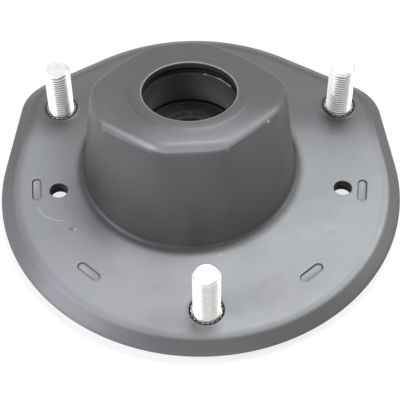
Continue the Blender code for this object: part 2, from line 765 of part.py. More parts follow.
def add_balls(turn_axis):
    """Add the balls, each with its centre as its origin."""
    bm = bmesh.new()
    bmesh.ops.create_uvsphere(bm, u_segments=BALL_SEGMENTS, v_segments=BALL_RINGS, radius=BALL_RADIUS)
    first = add_object("ball_1", bm, "bearing_steel", turn_axis)
    for index, angle in enumerate(ball_angles()):
        ball = first
        if index > 0:
            ball = bpy.data.objects.new(f"ball_{index + 1}", first.data)
            ball.parent = turn_axis
            bpy.context.scene.collection.objects.link(ball)
        ball.matrix_local = Matrix.Rotation(angle, 4, "Z") @ Matrix.Translation((PITCH_RADIUS, 0.0, 0.0))


def stud_ring(radius, z, tooth=0.0):
    """Return a ring of a stud; a tooth depth makes it serrated."""
    ring = []
    for index, angle in enumerate(even_angles(STUD_POINTS)):
        reach = radius - tooth * (index % 2)
        ring.append(Vector((reach * math.cos(angle), reach * math.sin(angle), z)))
    return ring


def add_studs():
    """Add the three studs, which share one mesh."""
    neck_top = FLANGE_TOP + NECK_PROUD
    stud_top = FLANGE_TOP + STUD_REACH
    bm = bmesh.new()
    rings = add_rings(bm, [
        stud_ring(HEAD_RADIUS - HEAD_CHAMFER, 0.0),
        stud_ring(HEAD_RADIUS, HEAD_CHAMFER),
        stud_ring(HEAD_RADIUS, HEAD_THICKNESS),
        stud_ring(NECK_RADIUS, HEAD_THICKNESS, NECK_TOOTH),
        stud_ring(NECK_RADIUS, neck_top - NECK_TOOTH, NECK_TOOTH),
        stud_ring(NECK_RADIUS - NECK_TOOTH, neck_top),
        stud_ring(THREAD_RADIUS, neck_top),
        stud_ring(THREAD_RADIUS, stud_top - STUD_END_CHAMFER),
        stud_ring(THREAD_RADIUS - STUD_END_CHAMFER, stud_top),
    ])
    close_ends(bm, rings)
    mesh = None
    for name, x, y in stud_places():
        if mesh is None:
            stud = add_object(name, bm, "zinc")
            mesh = stud.data
        else:
            stud = bpy.data.objects.new(name, mesh)
            bpy.context.scene.collection.objects.link(stud)
        stud.location = (x, y, 0.0)


def build():
    """Build the whole mount."""
    clear_scene()
    hole_cutter = add_hole_cutter()
    mark_cutter = add_mark_cutter()
    add_upper_plate(hole_cutter, mark_cutter)
    add_lower_plate(hole_cutter)
    add_rubber_cushion()
    add_studs()
    strut_axis = add_empty("strut_axis", STRUT_AXIS)
    bearing_centre = Matrix.Translation((0.0, 0.0, -(BEARING_DEPTH + 0.5 * BEARING_WIDTH)))
    bearing_axis = add_empty("bearing_axis", bearing_centre, strut_axis)
    inner_turn = add_empty("inner_race_turn", Matrix.Identity(4), bearing_axis)
    cage_turn = add_empty("cage_turn", Matrix.Identity(4), bearing_axis)
    add_bearing_housing(strut_axis)
    add_outer_race(bearing_axis)
    add_inner_race(inner_turn)
    add_seal("upper_seal", bearing_axis, 1.0)
    add_seal("lower_seal", bearing_axis, -1.0)
    add_cage(cage_turn)
    add_balls(cage_turn)


build()
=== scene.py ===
# %% [markdown]
# # A strut mount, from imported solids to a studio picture
# The mount sits between a car's body and its front strut. Its solids are already made and
# packed, so this script only dresses them: finer skins, threads, finishes, light and a camera.
# Everything is in metres and in the frame of the solids, so no piece has to be fitted by eye.

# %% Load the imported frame
import math

import bmesh
import bpy
from mathutils import Matrix, Quaternion, Vector
from mathutils.geometry import delaunay_2d_cdt


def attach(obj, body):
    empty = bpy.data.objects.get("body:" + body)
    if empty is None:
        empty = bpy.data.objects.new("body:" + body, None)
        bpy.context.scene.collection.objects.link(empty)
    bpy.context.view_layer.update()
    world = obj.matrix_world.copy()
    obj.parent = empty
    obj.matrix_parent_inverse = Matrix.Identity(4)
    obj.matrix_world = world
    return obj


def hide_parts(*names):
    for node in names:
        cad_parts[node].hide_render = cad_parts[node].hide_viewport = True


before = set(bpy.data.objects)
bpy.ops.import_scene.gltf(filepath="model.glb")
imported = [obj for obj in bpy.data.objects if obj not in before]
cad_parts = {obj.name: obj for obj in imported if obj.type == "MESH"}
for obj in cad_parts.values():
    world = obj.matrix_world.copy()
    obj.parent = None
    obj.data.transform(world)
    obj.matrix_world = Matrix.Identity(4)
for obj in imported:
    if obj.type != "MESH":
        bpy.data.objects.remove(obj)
scene = bpy.context.scene
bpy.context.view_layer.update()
MM = 0.001

# %% [markdown]
# ## The camera
# The photograph was taken from well above the front edge. The distance, the height and the
# lens follow from where the plate's outline, the studs and the small holes lie in it. A camera
# in Blender looks along its own -Z, so a direction is turned into a rotation, and the small
# roll is a turn about that same axis.

# %% Camera
camera_place = Vector((-0.4, -379.1, 476.3)) * MM
camera_target = Vector((-0.4, -13.5, 9.4)) * MM
camera_data = bpy.data.cameras.new("camera")
camera_data.sensor_width = 36.0
camera_data.lens = 119.35
camera = bpy.data.objects.new("camera", camera_data)
camera.location = camera_place
camera.rotation_mode = "QUATERNION"
looking = (camera_target - camera_place).to_track_quat("-Z", "Y")
camera.rotation_quaternion = looking @ Quaternion((0.0, 0.0, 1.0), -0.009)
scene.collection.objects.link(camera)
scene.camera = camera
print("camera stands", round((camera_target - camera_place).length, 3), "m away")

# %% [markdown]
# ## Sizes
# The script can't read the solids' source, so the sizes that the finer skins need are given
# again, each once. Most are the solids' own. A few are drawn a little differently, because the
# photograph asks for it: the bend at the tower's foot is tighter, three sides of the tower's
# front reach a millimetre further out, and the lips of the stud holes stand closer to the
# studs. The rim is drawn a tenth of a millimetre inside the solids' rim, because a finer edge
# reaches a little past a coarse one.

# %% Sizes of the plates
SHEET = 3.0 * MM
SEAT_GAP = 0.3 * MM
FRONT_RADIUS = 90.7 * MM
BACK_REACH = 93.1 * MM
SIDE_TAPER = math.radians(7.2)
BACK_SLOPE = math.radians(31.0)
BACK_RADIUS = 86.0 * MM
BACK_CENTRE_X = -3.0 * MM
CORNER_RADIUS = 23.0 * MM
RIM_MARGIN = 0.12 * MM
RIM_RUN = 7.0 * MM
RIM_DROP = 5.5 * MM
RIM_ROUND = 7.5 * MM
HEAD_THICKNESS = 2.8 * MM
LOWER_PLATE_TOP = HEAD_THICKNESS + SEAT_GAP + SHEET
FLANGE_TOP = LOWER_PLATE_TOP + SEAT_GAP + SHEET
PLATE_DEPTH = FRONT_RADIUS + BACK_REACH
FRONT_CENTRE_Y = FRONT_RADIUS - 0.5 * PLATE_DEPTH
BACK_POINT_Y = 0.5 * PLATE_DEPTH + BACK_RADIUS * (1.0 / math.cos(BACK_SLOPE) - 1.0)
print("plate depth", round(PLATE_DEPTH / MM, 1), "mm, flange top", round(FLANGE_TOP / MM, 1), "mm")

# %% Sizes of the tower
TILT = math.radians(9.76)
HOLE_CENTRE = Vector((-4.6, 10.3, 0.0)) * MM + Vector((0.0, 0.0, FLANGE_TOP + 46.0 * MM))
HOLE_RADIUS = 20.6 * MM
RING_RADIUS = 25.5 * MM
RING_STEP = 0.6 * MM
RING_STEP_RUN = 1.6 * MM
TOP_FALL = 1.6 * MM
SHOULDER_ROUND = 5.0 * MM
FOOT_CENTRE = Vector((-5.0, 7.6, 0.0)) * MM
FOOT_RADIUS = 48.1 * MM
FOOT_ROUND = 3.0 * MM
TOWER_SIDES = (
    (-86.1, 36.3), (-44.6, 35.5), (-7.1, 41.2), (48.0, 36.9),
    (96.7, 40.3), (139.4, 39.2), (188.9, 42.4), (232.8, 37.2),
)
SIDE_CRISPNESS = 20.0
FRONT_CRISPNESS_GAIN = 12.0
STRUT_AXIS = Matrix.Translation(HOLE_CENTRE) @ Matrix.Rotation(-TILT, 4, "X")

# %% Sizes of the holes, marks and studs
STUDS = {
    "stud_front": Vector((2.0, -72.2, 0.0)) * MM,
    "stud_left": Vector((-65.5, 42.5, 0.0)) * MM,
    "stud_right": Vector((65.5, 42.5, 0.0)) * MM,
}
NECK_RADIUS = 7.2 * MM
JIG_HOLES = (Vector((-63.9, -7.2, 0.0)) * MM, Vector((63.9, -7.2, 0.0)) * MM)
JIG_HOLE_RADIUS = 4.0 * MM
MARKS = ((73.1, -6.8), (71.2, -48.5), (70.9, -133.1), (74.2, -175.0))
ROUND_HOLES = [(place, NECK_RADIUS + SEAT_GAP) for place in STUDS.values()]
ROUND_HOLES += [(place, JIG_HOLE_RADIUS) for place in JIG_HOLES]
print("round holes through both plates:", len(ROUND_HOLES))

# %% [markdown]
# ## Small helpers
# Every piece ends the same way: its modifiers are evaluated, the result is copied into a plain
# mesh, and the piece rides on a body and stands for its solid. Keeping that in one place means
# no piece can forget a step. Faces that meet at a steep angle stay sharp, all others blend.


# %% Helpers for finished pieces
SPECK = 0.001 * MM
SHARP_ANGLE = math.radians(32.0)


def link(name, mesh):
    """Put a mesh into the scene as an object at the origin."""
    piece = bpy.data.objects.new(name, mesh)
    scene.collection.objects.link(piece)
    return piece


def mesh_from(name, bm):
    """Turn a bmesh into a mesh, with its doubles merged and its faces pointing outwards."""
    bmesh.ops.remove_doubles(bm, verts=bm.verts, dist=0.5 * SPECK)
    bmesh.ops.recalc_face_normals(bm, faces=bm.faces)
    mesh = bpy.data.meshes.new(name)
    bm.to_mesh(mesh)
    bm.free()
    return mesh


def shade(mesh):
    """Blend the shading across a mesh, but not across its steep edges."""
    mesh.shade_smooth()
    mesh.set_sharp_from_angle(angle=SHARP_ANGLE)


def bake(piece):
    """Replace a piece's mesh by its evaluated one and remove the modifiers."""
    graph = bpy.context.evaluated_depsgraph_get()
    mesh = bpy.data.meshes.new_from_object(piece.evaluated_get(graph))
    piece.modifiers.clear()
    piece.data = mesh
    shade(mesh)


def cut_out(piece, cutter):
    """Cut one object's shape out of a piece, and remove that object."""
    cut = piece.modifiers.new("cut", "BOOLEAN")
    cut.operation = "DIFFERENCE"
    cut.solver = "EXACT"
    cut.object = cutter
    bake(piece)
    bpy.data.objects.remove(cutter)


def seat(piece, node, body):
    """Let a piece stand for a solid and ride on its body."""
    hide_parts(node)
    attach(piece, body)
    triangles = sum(len(face.vertices) - 2 for face in piece.data.polygons)
    print(piece.name, "has", triangles, "triangles")


# %% [markdown]
# ## A kit for node trees
# The finishes are node trees, so they hold at any distance and need no picture, and the turned
# pieces further down are node trees too. Wiring nodes by hand takes many lines. So one class
# adds a node and feeds its inputs in a single call, and writes sums in words.


# %% Helpers for node trees
class Tree:
    """A node tree that is written as short calls."""

    def __init__(self, tree):
        self.tree = tree

    def feed(self, socket, value):
        """Link a socket to an input, or give the input a value."""
        if isinstance(value, bpy.types.NodeSocket):
            self.tree.links.new(value, socket)
        else:
            socket.default_value = value

    def add(self, kind, feeds=(), **settings):
        """Add a node with its settings and feed its inputs."""
        node = self.tree.nodes.new(kind)
        for name, value in settings.items():
            setattr(node, name, value)
        for key, value in dict(feeds).items():
            self.feed(node.inputs[key], value)
        return node

    def maths(self, operation, a, b=0.0, **settings):
        return self.add("ShaderNodeMath", {0: a, 1: b}, operation=operation, **settings).outputs[0]

    def joined(self, operation, values):
        """Return several values joined by one operation, from the first to the last."""
        total = values[0]
        for value in values[1:]:
            total = self.maths(operation, total, value)
        return total

    def plus(self, *values):
        return self.joined("ADD", values)

    def less(self, *values):
        return self.joined("SUBTRACT", values)

    def times(self, *values):
        return self.joined("MULTIPLY", values)

    def over(self, *values):
        return self.joined("DIVIDE", values)

    def least(self, *values):
        return self.joined("MINIMUM", values)

    def most(self, *values):
        return self.joined("MAXIMUM", values)

    def split(self, vector):
        """Return the X, Y and Z of a vector."""
        return tuple(self.add("ShaderNodeSeparateXYZ", {0: vector}).outputs)


# %% [markdown]
# ## A kit for finishes
# A finish is built from shares between 0 and 1. Some come from noise of a given size, some from
# a height or another length, and some from how near a point is to a spot, a line or an upright
# axis. Colours are laid over each other by these shares, and a share can also raise or sink the
# surface. All of them read Object coordinates, which stay with the piece when it turns.


# %% Helpers for finishes
class Finish(Tree):
    """A material that is built from shares, colours and bumps."""

    def __init__(self, name, colour, roughness, metallic=0.0):
        self.material = bpy.data.materials.new(name)
        self.material.use_nodes = True
        super().__init__(self.material.node_tree)
        self.shader = self.tree.nodes["Principled BSDF"]
        self.set("Base Color", (*colour, 1.0))
        self.set("Roughness", roughness)
        self.set("Metallic", metallic)
        reading = self.add("ShaderNodeTexCoord").outputs
        self.place = reading["Object"]
        self.facing = reading["Normal"]
        self.normal = None

    def set(self, name, value):
        """Feed one of the shader's own inputs."""
        self.feed(self.shader.inputs[name], value)

    def noise(self, size, detail=2.0, stretch=(1.0, 1.0, 1.0)):
        """Return noise whose features are about that large, in metres."""
        mapping = self.add("ShaderNodeMapping", {"Vector": self.place, "Scale": stretch})
        feeds = {"Vector": mapping.outputs[0], "Scale": 1.0 / size, "Detail": detail}
        return self.add("ShaderNodeTexNoise", feeds).outputs["Fac"]

    def spread(self, value, low, high, to_low=0.0, to_high=1.0):
        """Return a value moved smoothly from one range to another and held at its ends."""
        names = ("Value", "From Min", "From Max", "To Min", "To Max")
        feeds = zip(names, (value, low, high, to_low, to_high))
        node = self.add("ShaderNodeMapRange", feeds, interpolation_type="SMOOTHSTEP")
        return node.outputs["Result"]

    def after(self, length, low, high, share=1.0):
        """Return a share that sets in between two lengths in millimetres."""
        return self.spread(length, low * MM, high * MM, 0.0, share)

    def until(self, length, low, high, share=1.0):
        """Return a share that fades out between two lengths in millimetres."""
        return self.spread(length, low * MM, high * MM, share, 0.0)

    def without(self, share, *others):
        """Return a share less what other shares cover."""
        return self.times(share, *[self.less(1.0, other) for other in others])

    def vector(self, operation, a, b=(0.0, 0.0, 0.0)):
        """Return the outputs of one sum of vectors."""
        return self.add("ShaderNodeVectorMath", {0: a, 1: b}, operation=operation).outputs

    def distance(self, spot, squash=(1.0, 1.0, 1.0)):
        """Return the distance from a spot in millimetres, with some directions squashed."""
        offset = self.vector("SUBTRACT", self.place, Vector(spot) * MM)[0]
        return self.vector("LENGTH", self.vector("MULTIPLY", offset, squash)[0])["Value"]

    def from_axis(self, *centres):
        """Return the level distance from the nearest of some upright axes."""
        return self.least(*[self.distance(centre / MM, (1.0, 1.0, 0.0)) for centre in centres])

    def near(self, spots):
        """Return 1 at each of some spots in millimetres, falling to 0 at its own reach."""
        return self.most(*[self.until(self.distance(spot), 0.0, reach) for spot, reach in spots])

    def along(self, spots, reach):
        """Return 1 on a line through spots in millimetres, falling to 0 at its reach."""
        shares = []
        for start, end in zip(spots, spots[1:]):
            start, end = Vector(start) * MM, Vector(end) * MM
            run = end - start
            offset = self.vector("SUBTRACT", self.place, start)[0]
            gone = self.vector("DOT_PRODUCT", offset, run / run.length_squared)["Value"]
            gone = self.maths("ADD", gone, use_clamp=True)
            step = self.add("ShaderNodeVectorMath", {0: run, "Scale": gone}, operation="SCALE")
            away = self.vector("DISTANCE", offset, step.outputs[0])["Value"]
            shares.append(self.until(away, 0.0, reach))
        return self.most(*shares)

    def mix(self, share, first, second):
        """Return a colour between two, by a share."""
        colours = [
            colour if isinstance(colour, bpy.types.NodeSocket) else (*colour, 1.0)
            for colour in (first, second)
        ]
        feeds = {0: share, 6: colours[0], 7: colours[1]}
        return self.add("ShaderNodeMix", feeds, data_type="RGBA").outputs[2]

    def mottled(self, noise, first, second, low=0.3, high=0.7):
        """Return a colour that drifts between two with the noise."""
        return self.mix(self.spread(noise, low, high), first, second)

    def laid_over(self, ground, *layers):
        """Return a colour with others laid over it in turn, each by its own share."""
        for share, colour in layers:
            ground = self.mix(share, ground, colour)
        return ground

    def bump(self, height, depth, strength=1.0):
        """Raise the surface by a height of 0 to 1, to a depth in metres."""
        feeds = {"Strength": strength, "Distance": depth, "Height": height}
        if self.normal is not None:
            feeds["Normal"] = self.normal
        self.normal = self.add("ShaderNodeBump", feeds).outputs["Normal"]
        self.set("Normal", self.normal)

    def sink(self, share, depth, strength=1.0):
        """Sink the surface where a share is 1, to a depth in metres."""
        self.bump(self.less(1.0, share), depth, strength)


# %% [markdown]
# ## The black coat
# The plates are dipped in a thin black coat and baked. It is nearly black itself, and what the
# eye sees is its satin gloss: a soft, broad reflection that follows every press radius. So the
# colour stays dark, the gloss does the work, and slow noise keeps the sheet from looking
# machined. Four painted shades lie over it: a painted lavender reflection lightens the left rim,
# painted light makes the left walls paler, painted shade darkens the walls towards their foot, and
# painted shade darkens the back.

# %% Black coat
coat = Finish("black_coat_dressed", (0.048, 0.049, 0.052), 0.42)
rightwards, backwards, height = coat.split(coat.place)
from_foot = coat.from_axis(FOOT_CENTRE)
leftwards = coat.plus(coat.times(rightwards, -0.8), coat.times(backwards, -0.6))
slant = coat.spread(height, 15.0 * MM, 45.0 * MM, 0.04, -0.15)
receding = coat.plus(backwards, coat.times(height, 0.96), coat.times(rightwards, slant))
clouds = coat.noise(26.0 * MM, 3.0)
# painted light: the upper left walls are painted paler
painted_left_wall_light = coat.times(coat.after(height, 20.0, 52.0), coat.after(leftwards, 27.0, 40.0))
# painted shade: the walls are painted darker towards their foot
painted_low_wall_shade = coat.times(coat.until(height, 10.5, 34.0), coat.until(from_foot, 51.0, 53.0, 0.6))
# painted shade: the back, except at the far left, is painted darker
painted_back_shade = coat.times(coat.after(receding, 30.0, 60.0), coat.after(rightwards, -45.0, -20.0))
coated = coat.laid_over(
    coat.mottled(clouds, (0.045, 0.045, 0.046), (0.054, 0.054, 0.055), 0.35, 0.65),
    # painted reflection: the left rim and flange are painted lighter and lavender
    (coat.after(leftwards, 58.0, 82.0), (0.112, 0.107, 0.124)),
    (painted_left_wall_light, (0.094, 0.092, 0.095)),
    (painted_low_wall_shade, (0.022, 0.022, 0.023)),
    (painted_back_shade, (0.026, 0.026, 0.026)),
)
print("nodes of the bare coat:", len(coat.tree.nodes))

# %% [markdown]
# ## Dust and painted light
# The flange, and the tower's top and front shoulder, hold a thin film of dust and painted light,
# which makes them much lighter than the walls. A rule lays it: the face has to look up, or tilt a
# little more high on the shoulder as a painted highlight. Painted shade thins it towards the back,
# beside the tower and at the left edge, and painted light makes it palest in front of the foot.
# Right round the foot, in the bend, a ring of painted shade takes its place.

# %% Dust and grime
# painted highlight: high on the shoulder the film may tilt further, so that band is lighter
painted_shoulder_highlight = coat.after(height, 44.0, 52.0, 0.30)
# painted light: the film covers faces that look up, so they are lighter than the walls
level = coat.spread(coat.plus(coat.split(coat.facing)[2], painted_shoulder_highlight), 0.80, 0.93)
low = coat.until(height, 10.5, 13.5)
# painted shade: a ring round the foot, in the bend, is painted dark and its gloss dulled
painted_shade_round_foot = coat.times(coat.until(from_foot, 49.2, 53.4), low)
# painted shade: the flange beside the tower's left is painted darker
painted_shade_beside_tower = coat.times(
    coat.until(from_foot, 50.0, 77.0, 0.60), coat.until(rightwards, -48.0, -30.0), low,
)
# painted shade: the left edge of the flange is painted darker
painted_shade_left_edge = coat.times(
    coat.after(coat.from_axis(Vector()), 79.0, 87.5, 0.85), coat.until(rightwards, -78.0, -60.0),
)
# painted shade: the pale film thins towards the back
painted_shade_falloff = coat.spread(receding, 22.0 * MM, 53.0 * MM, 1.0, 0.04)
painted_shade_falloff = coat.without(painted_shade_falloff, painted_shade_beside_tower, painted_shade_round_foot, painted_shade_left_edge)
# dust and painted light: the share of the pale film
dust_and_painted_light = coat.times(level, painted_shade_falloff, coat.spread(clouds, 0.3, 0.7, 0.85, 1.0))
# painted light: the flange in front of the foot is painted palest
painted_light_before_foot = coat.times(
    coat.until(from_foot, 54.0, 70.0), coat.until(backwards, -40.0, -22.0),
    coat.until(rightwards, 2.0, 24.0),
)
# dust and painted light: the colour of the film
dust_and_light_colour = coat.mix(painted_light_before_foot, (0.285, 0.295, 0.308), (0.435, 0.445, 0.458))
dusted_and_lit = coat.mix(dust_and_painted_light, coated, dust_and_light_colour)
print("nodes with dust:", len(coat.tree.nodes))

# %% [markdown]
# ## Wear and painted highlights
# Every part gets marks in a box with others: nicks and a scratch that show grey metal. Painted
# highlights make the front shoulder's corners a little pale, and a painted highlight brightens the
# edge of the punched hole. Each mark is a spot or a line with a reach, in millimetres, so it can be
# moved by hand.

# %% Wear
FACE = FLANGE_TOP / MM
NICKS = (
    ((29.0, -6.8, 54.4), 1.2), ((8.3, -43.8, FACE), 1.0), ((-36.0, -47.1, FACE), 0.5),
    ((-50.4, -62.5, FACE), 0.4), ((14.9, -64.8, FACE), 0.4), ((-53.0, -24.7, FACE), 0.3),
    ((-55.5, -29.3, FACE), 0.9),
)
SCRATCH = ((-73.1, -16.6, FACE), (-70.2, -21.0, FACE), (-65.1, -24.0, FACE), (-61.4, -24.6, FACE))
# painted highlights along the front shoulder's left edge and at its corners
PAINTED_HIGHLIGHT_EDGE = ((-40.8, -9.3, 53.9), (-31.6, -16.9, 55.2), (-21.0, -23.9, 57.1))
PAINTED_HIGHLIGHT_SPOTS = ((PAINTED_HIGHLIGHT_EDGE[0], 2.8), (PAINTED_HIGHLIGHT_EDGE[2], 2.6), ((11.2, -23.8, 57.0), 2.2))
painted_highlights = coat.most(coat.near(PAINTED_HIGHLIGHT_SPOTS), coat.along(PAINTED_HIGHLIGHT_EDGE, 1.9))
patchy = coat.spread(coat.noise(11.0 * MM, 1.0), 0.3, 0.7, 0.22, 0.42)
# painted highlight on the edge of the punched hole, on faces that look up
painted_hole_edge_highlight = coat.until(coat.distance(HOLE_CENTRE / MM), 21.0, 21.5, 0.45)
coat.set("Base Color", coat.laid_over(
    dusted_and_lit,
    (coat.times(painted_highlights, patchy), (0.46, 0.43, 0.50)),
    (coat.times(painted_hole_edge_highlight, level), (0.50, 0.50, 0.49)),
    (coat.times(coat.along(SCRATCH, 0.55), 0.6), (0.50, 0.51, 0.54)),
    (coat.near(NICKS), (0.55, 0.56, 0.57)),
))
print("marks:", len(NICKS) + len(PAINTED_HIGHLIGHT_SPOTS), "spots and 2 lines")

# %% [markdown]
# ## Gloss and relief
# The gloss drifts a little in strength and hue. The painted shade round the foot dulls it, and
# the walls of the two jig holes have none. The relief is the orange-peel grain of the coat, the
# slow waves of pressed sheet, three shallow dimples where the sheets are welded, and one dent.

# %% Gloss and relief
from_hole = coat.from_axis(*JIG_HOLES)
bare_wall = coat.times(coat.until(from_hole, 4.3, 4.8), coat.until(height, 8.7, 9.3))
dull = coat.most(bare_wall, coat.times(painted_shade_round_foot, 0.42))
coat.set("Specular IOR Level", coat.spread(dull, 0.0, 1.0, 1.0, 0.05))
sheen = coat.noise(38.0 * MM, 2.0)
coat.set("Specular Tint", coat.mottled(sheen, (1.0, 0.965, 1.03), (0.97, 1.0, 0.985), 0.35, 0.65))
uneven = coat.spread(coat.noise(9.0 * MM, 4.0), 0.3, 0.7, 0.42, 0.46)
streaks = coat.noise(2.4 * MM, 2.0, (1.0, 1.0, 0.12))
coat.set("Roughness", coat.plus(uneven, coat.times(streaks, 0.04)))
coat.bump(coat.noise(0.9 * MM, 2.0), 0.03 * MM, 0.5)
coat.bump(coat.noise(34.0 * MM, 1.0), 0.25 * MM, 0.5)
WELD_SPOTS = (((-20.7, -59.2, FACE), 3.6), ((24.4, -58.7, FACE), 3.6), ((56.6, -30.9, FACE), 3.6))
coat.sink(coat.near(WELD_SPOTS), 0.12 * MM, 0.7)
DENT = (((-56.8, -28.2, FACE), 1.9),)
coat.sink(coat.near(DENT), 0.5 * MM)
print("coat nodes:", len(coat.tree.nodes))

# %% [markdown]
# ## Zinc on the studs
# The studs are zinc plated, which is bright and slightly milky, so it is mostly metal with a
# fine grain. Their left sides are bleached by light, and a painted highlight, a brighter plating
# on that side, stands for it. A film of oil darkens the collar low on each stud, and the roots of
# the thread are darker, except near its end.

# %% Zinc
zinc = Finish("zinc_dressed", (0.66, 0.67, 0.65), 0.34, 0.9)
stud_height = zinc.split(zinc.place)[2]
threaded = zinc.until(stud_height, 34.2, 34.8, 0.75)
root = zinc.times(zinc.until(zinc.from_axis(*STUDS.values()), 5.15, 5.75), threaded)
zinc.set("Base Color", zinc.laid_over(
    zinc.mottled(zinc.noise(3.0 * MM, 2.0), (0.68, 0.69, 0.67), (0.60, 0.61, 0.585)),
    # painted highlight: the left sides are brighter
    (zinc.spread(zinc.split(zinc.facing)[0], -0.55, -0.05, 1.0, 0.0), (0.96, 0.965, 0.955)),
    (zinc.until(stud_height, 9.9, 10.6), (0.42, 0.41, 0.39)),
    (root, (0.20, 0.205, 0.19)),
))
zinc.set("Roughness", zinc.spread(zinc.noise(2.0 * MM, 2.0), 0.3, 0.7, 0.31, 0.37))
print("zinc nodes:", len(zinc.tree.nodes))

# %% [markdown]
# ## Steel, rubber and plastic
# The races are ground steel under a film of grease, and the inner one is blackened. The housing
# has a duller coat than the plates: painted light makes its lower part paler, painted shade makes
# its ledge that looks up darker, and one thin painted glint lies along the back of its tube. The
# rubber is dull with a faint moulding grain, and the cage is a plain moulded plastic.

# %% Steel, housing, rubber and plastic
race_steel = Finish("race_steel_dressed", (0.30, 0.30, 0.31), 0.28, 1.0)
turned = race_steel.noise(0.6 * MM, 2.0, (0.3, 0.3, 3.0))
race_steel.set("Base Color", race_steel.mottled(turned, (0.26, 0.26, 0.27), (0.36, 0.36, 0.37)))
race_steel.bump(turned, 0.004 * MM, 0.5)

dark_steel = Finish("blackened_steel_dressed", (0.045, 0.045, 0.047), 0.42, 0.6)
stain = dark_steel.noise(3.0 * MM, 3.0)
dark_steel.set("Base Color", dark_steel.mottled(stain, (0.035, 0.035, 0.037), (0.06, 0.058, 0.056)))
dark_steel.bump(dark_steel.noise(0.5 * MM, 2.0), 0.006 * MM, 0.5)

housing_coat = Finish("housing_coat_dressed", (0.06, 0.06, 0.062), 0.62)
housing_coat.set("Specular IOR Level", 0.25)
housing_height = housing_coat.split(housing_coat.place)[2]
GLINT = ((1.9, 28.7, 46.4), (8.9, 24.9, 47.1), (13.4, 19.6, 47.9))
smear = housing_coat.noise(8.0 * MM, 3.0)
# painted shade: the ledge that looks up is darker
painted_shade_on_ledge = housing_coat.spread(housing_coat.split(housing_coat.facing)[2], 0.3, 0.8)
housing_coat.set("Base Color", housing_coat.laid_over(
    housing_coat.mottled(smear, (0.055, 0.055, 0.057), (0.065, 0.065, 0.067)),
    # painted light: the housing's lower part is paler
    (housing_coat.until(housing_height, 32.0, 46.0, 0.9), (0.26, 0.26, 0.265)),
    (painted_shade_on_ledge, (0.018, 0.018, 0.018)),
    (housing_coat.along(GLINT, 0.5), (0.55, 0.55, 0.55)),
))

rubber = Finish("rubber_dressed", (0.018, 0.018, 0.018), 0.72)
bloom = rubber.noise(7.0 * MM, 3.0)
rubber.set("Base Color", rubber.mottled(bloom, (0.014, 0.014, 0.014), (0.030, 0.029, 0.028), 0.4))
rubber.bump(rubber.noise(0.7 * MM, 3.0), 0.04 * MM, 0.6)

cage_plastic = Finish("cage_plastic_dressed", (0.16, 0.13, 0.10), 0.5)
flow = cage_plastic.noise(2.0 * MM, 2.0)
cage_plastic.set("Base Color", cage_plastic.mottled(flow, (0.14, 0.115, 0.09), (0.19, 0.155, 0.12)))
cage_plastic.bump(cage_plastic.noise(0.6 * MM, 2.0), 0.02 * MM, 0.4)
print("finishes:", len(bpy.data.materials))

# %% [markdown]
# ## Rounding a bend
# A press never folds sheet to a sharp corner. Where two straight runs of a section meet, an arc
# that touches both takes the corner's place. One function makes all of them, for the outline,
# the rim, the shoulder and the foot, so they are all true arcs.


# %% Arc between two runs
def round_corner(before, corner, after, radius, steps):
    """Return the points of an arc that rounds a corner between two straight runs."""
    towards_before = (before - corner).normalized()
    towards_after = (after - corner).normalized()
    half_angle = 0.5 * towards_before.angle(towards_after)
    bisector = (towards_before + towards_after).normalized()
    centre = corner + bisector * (radius / math.sin(half_angle))
    first = corner + towards_before * (radius / math.tan(half_angle)) - centre
    last = corner + towards_after * (radius / math.tan(half_angle)) - centre
    sweep = first.angle(last)
    points = []
    for step in range(steps + 1):
        share = step / steps
        near = math.sin((1.0 - share) * sweep) / math.sin(sweep)
        far = math.sin(share * sweep) / math.sin(sweep)
        points.append(centre + first * near + last * far)
    return points


# %% [markdown]
# ## The plate's outline
# Seen from above the plate has a round front, two straight sides that draw in towards the back,
# two round corners and a back that is two slopes joined by a wide bow. Each straight is kept as
# an angle and an offset, which makes moving the whole outline inwards a matter of subtraction.


# %% Outline
def meeting_point(line_a, line_b):
    """Return where two lines meet; a line is the angle of its normal and its offset along it."""
    (angle_a, offset_a), (angle_b, offset_b) = line_a, line_b
    turn = math.sin(angle_b - angle_a)
    x = (offset_a * math.sin(angle_b) - offset_b * math.sin(angle_a)) / turn
    y = (offset_b * math.cos(angle_a) - offset_a * math.cos(angle_b)) / turn
    return Vector((x, y, 0.0))


def line_through(angle, x, y, inset):
    """Return the line with that normal angle through a point, moved inwards by an inset."""
    return angle, x * math.cos(angle) + y * math.sin(angle) - inset


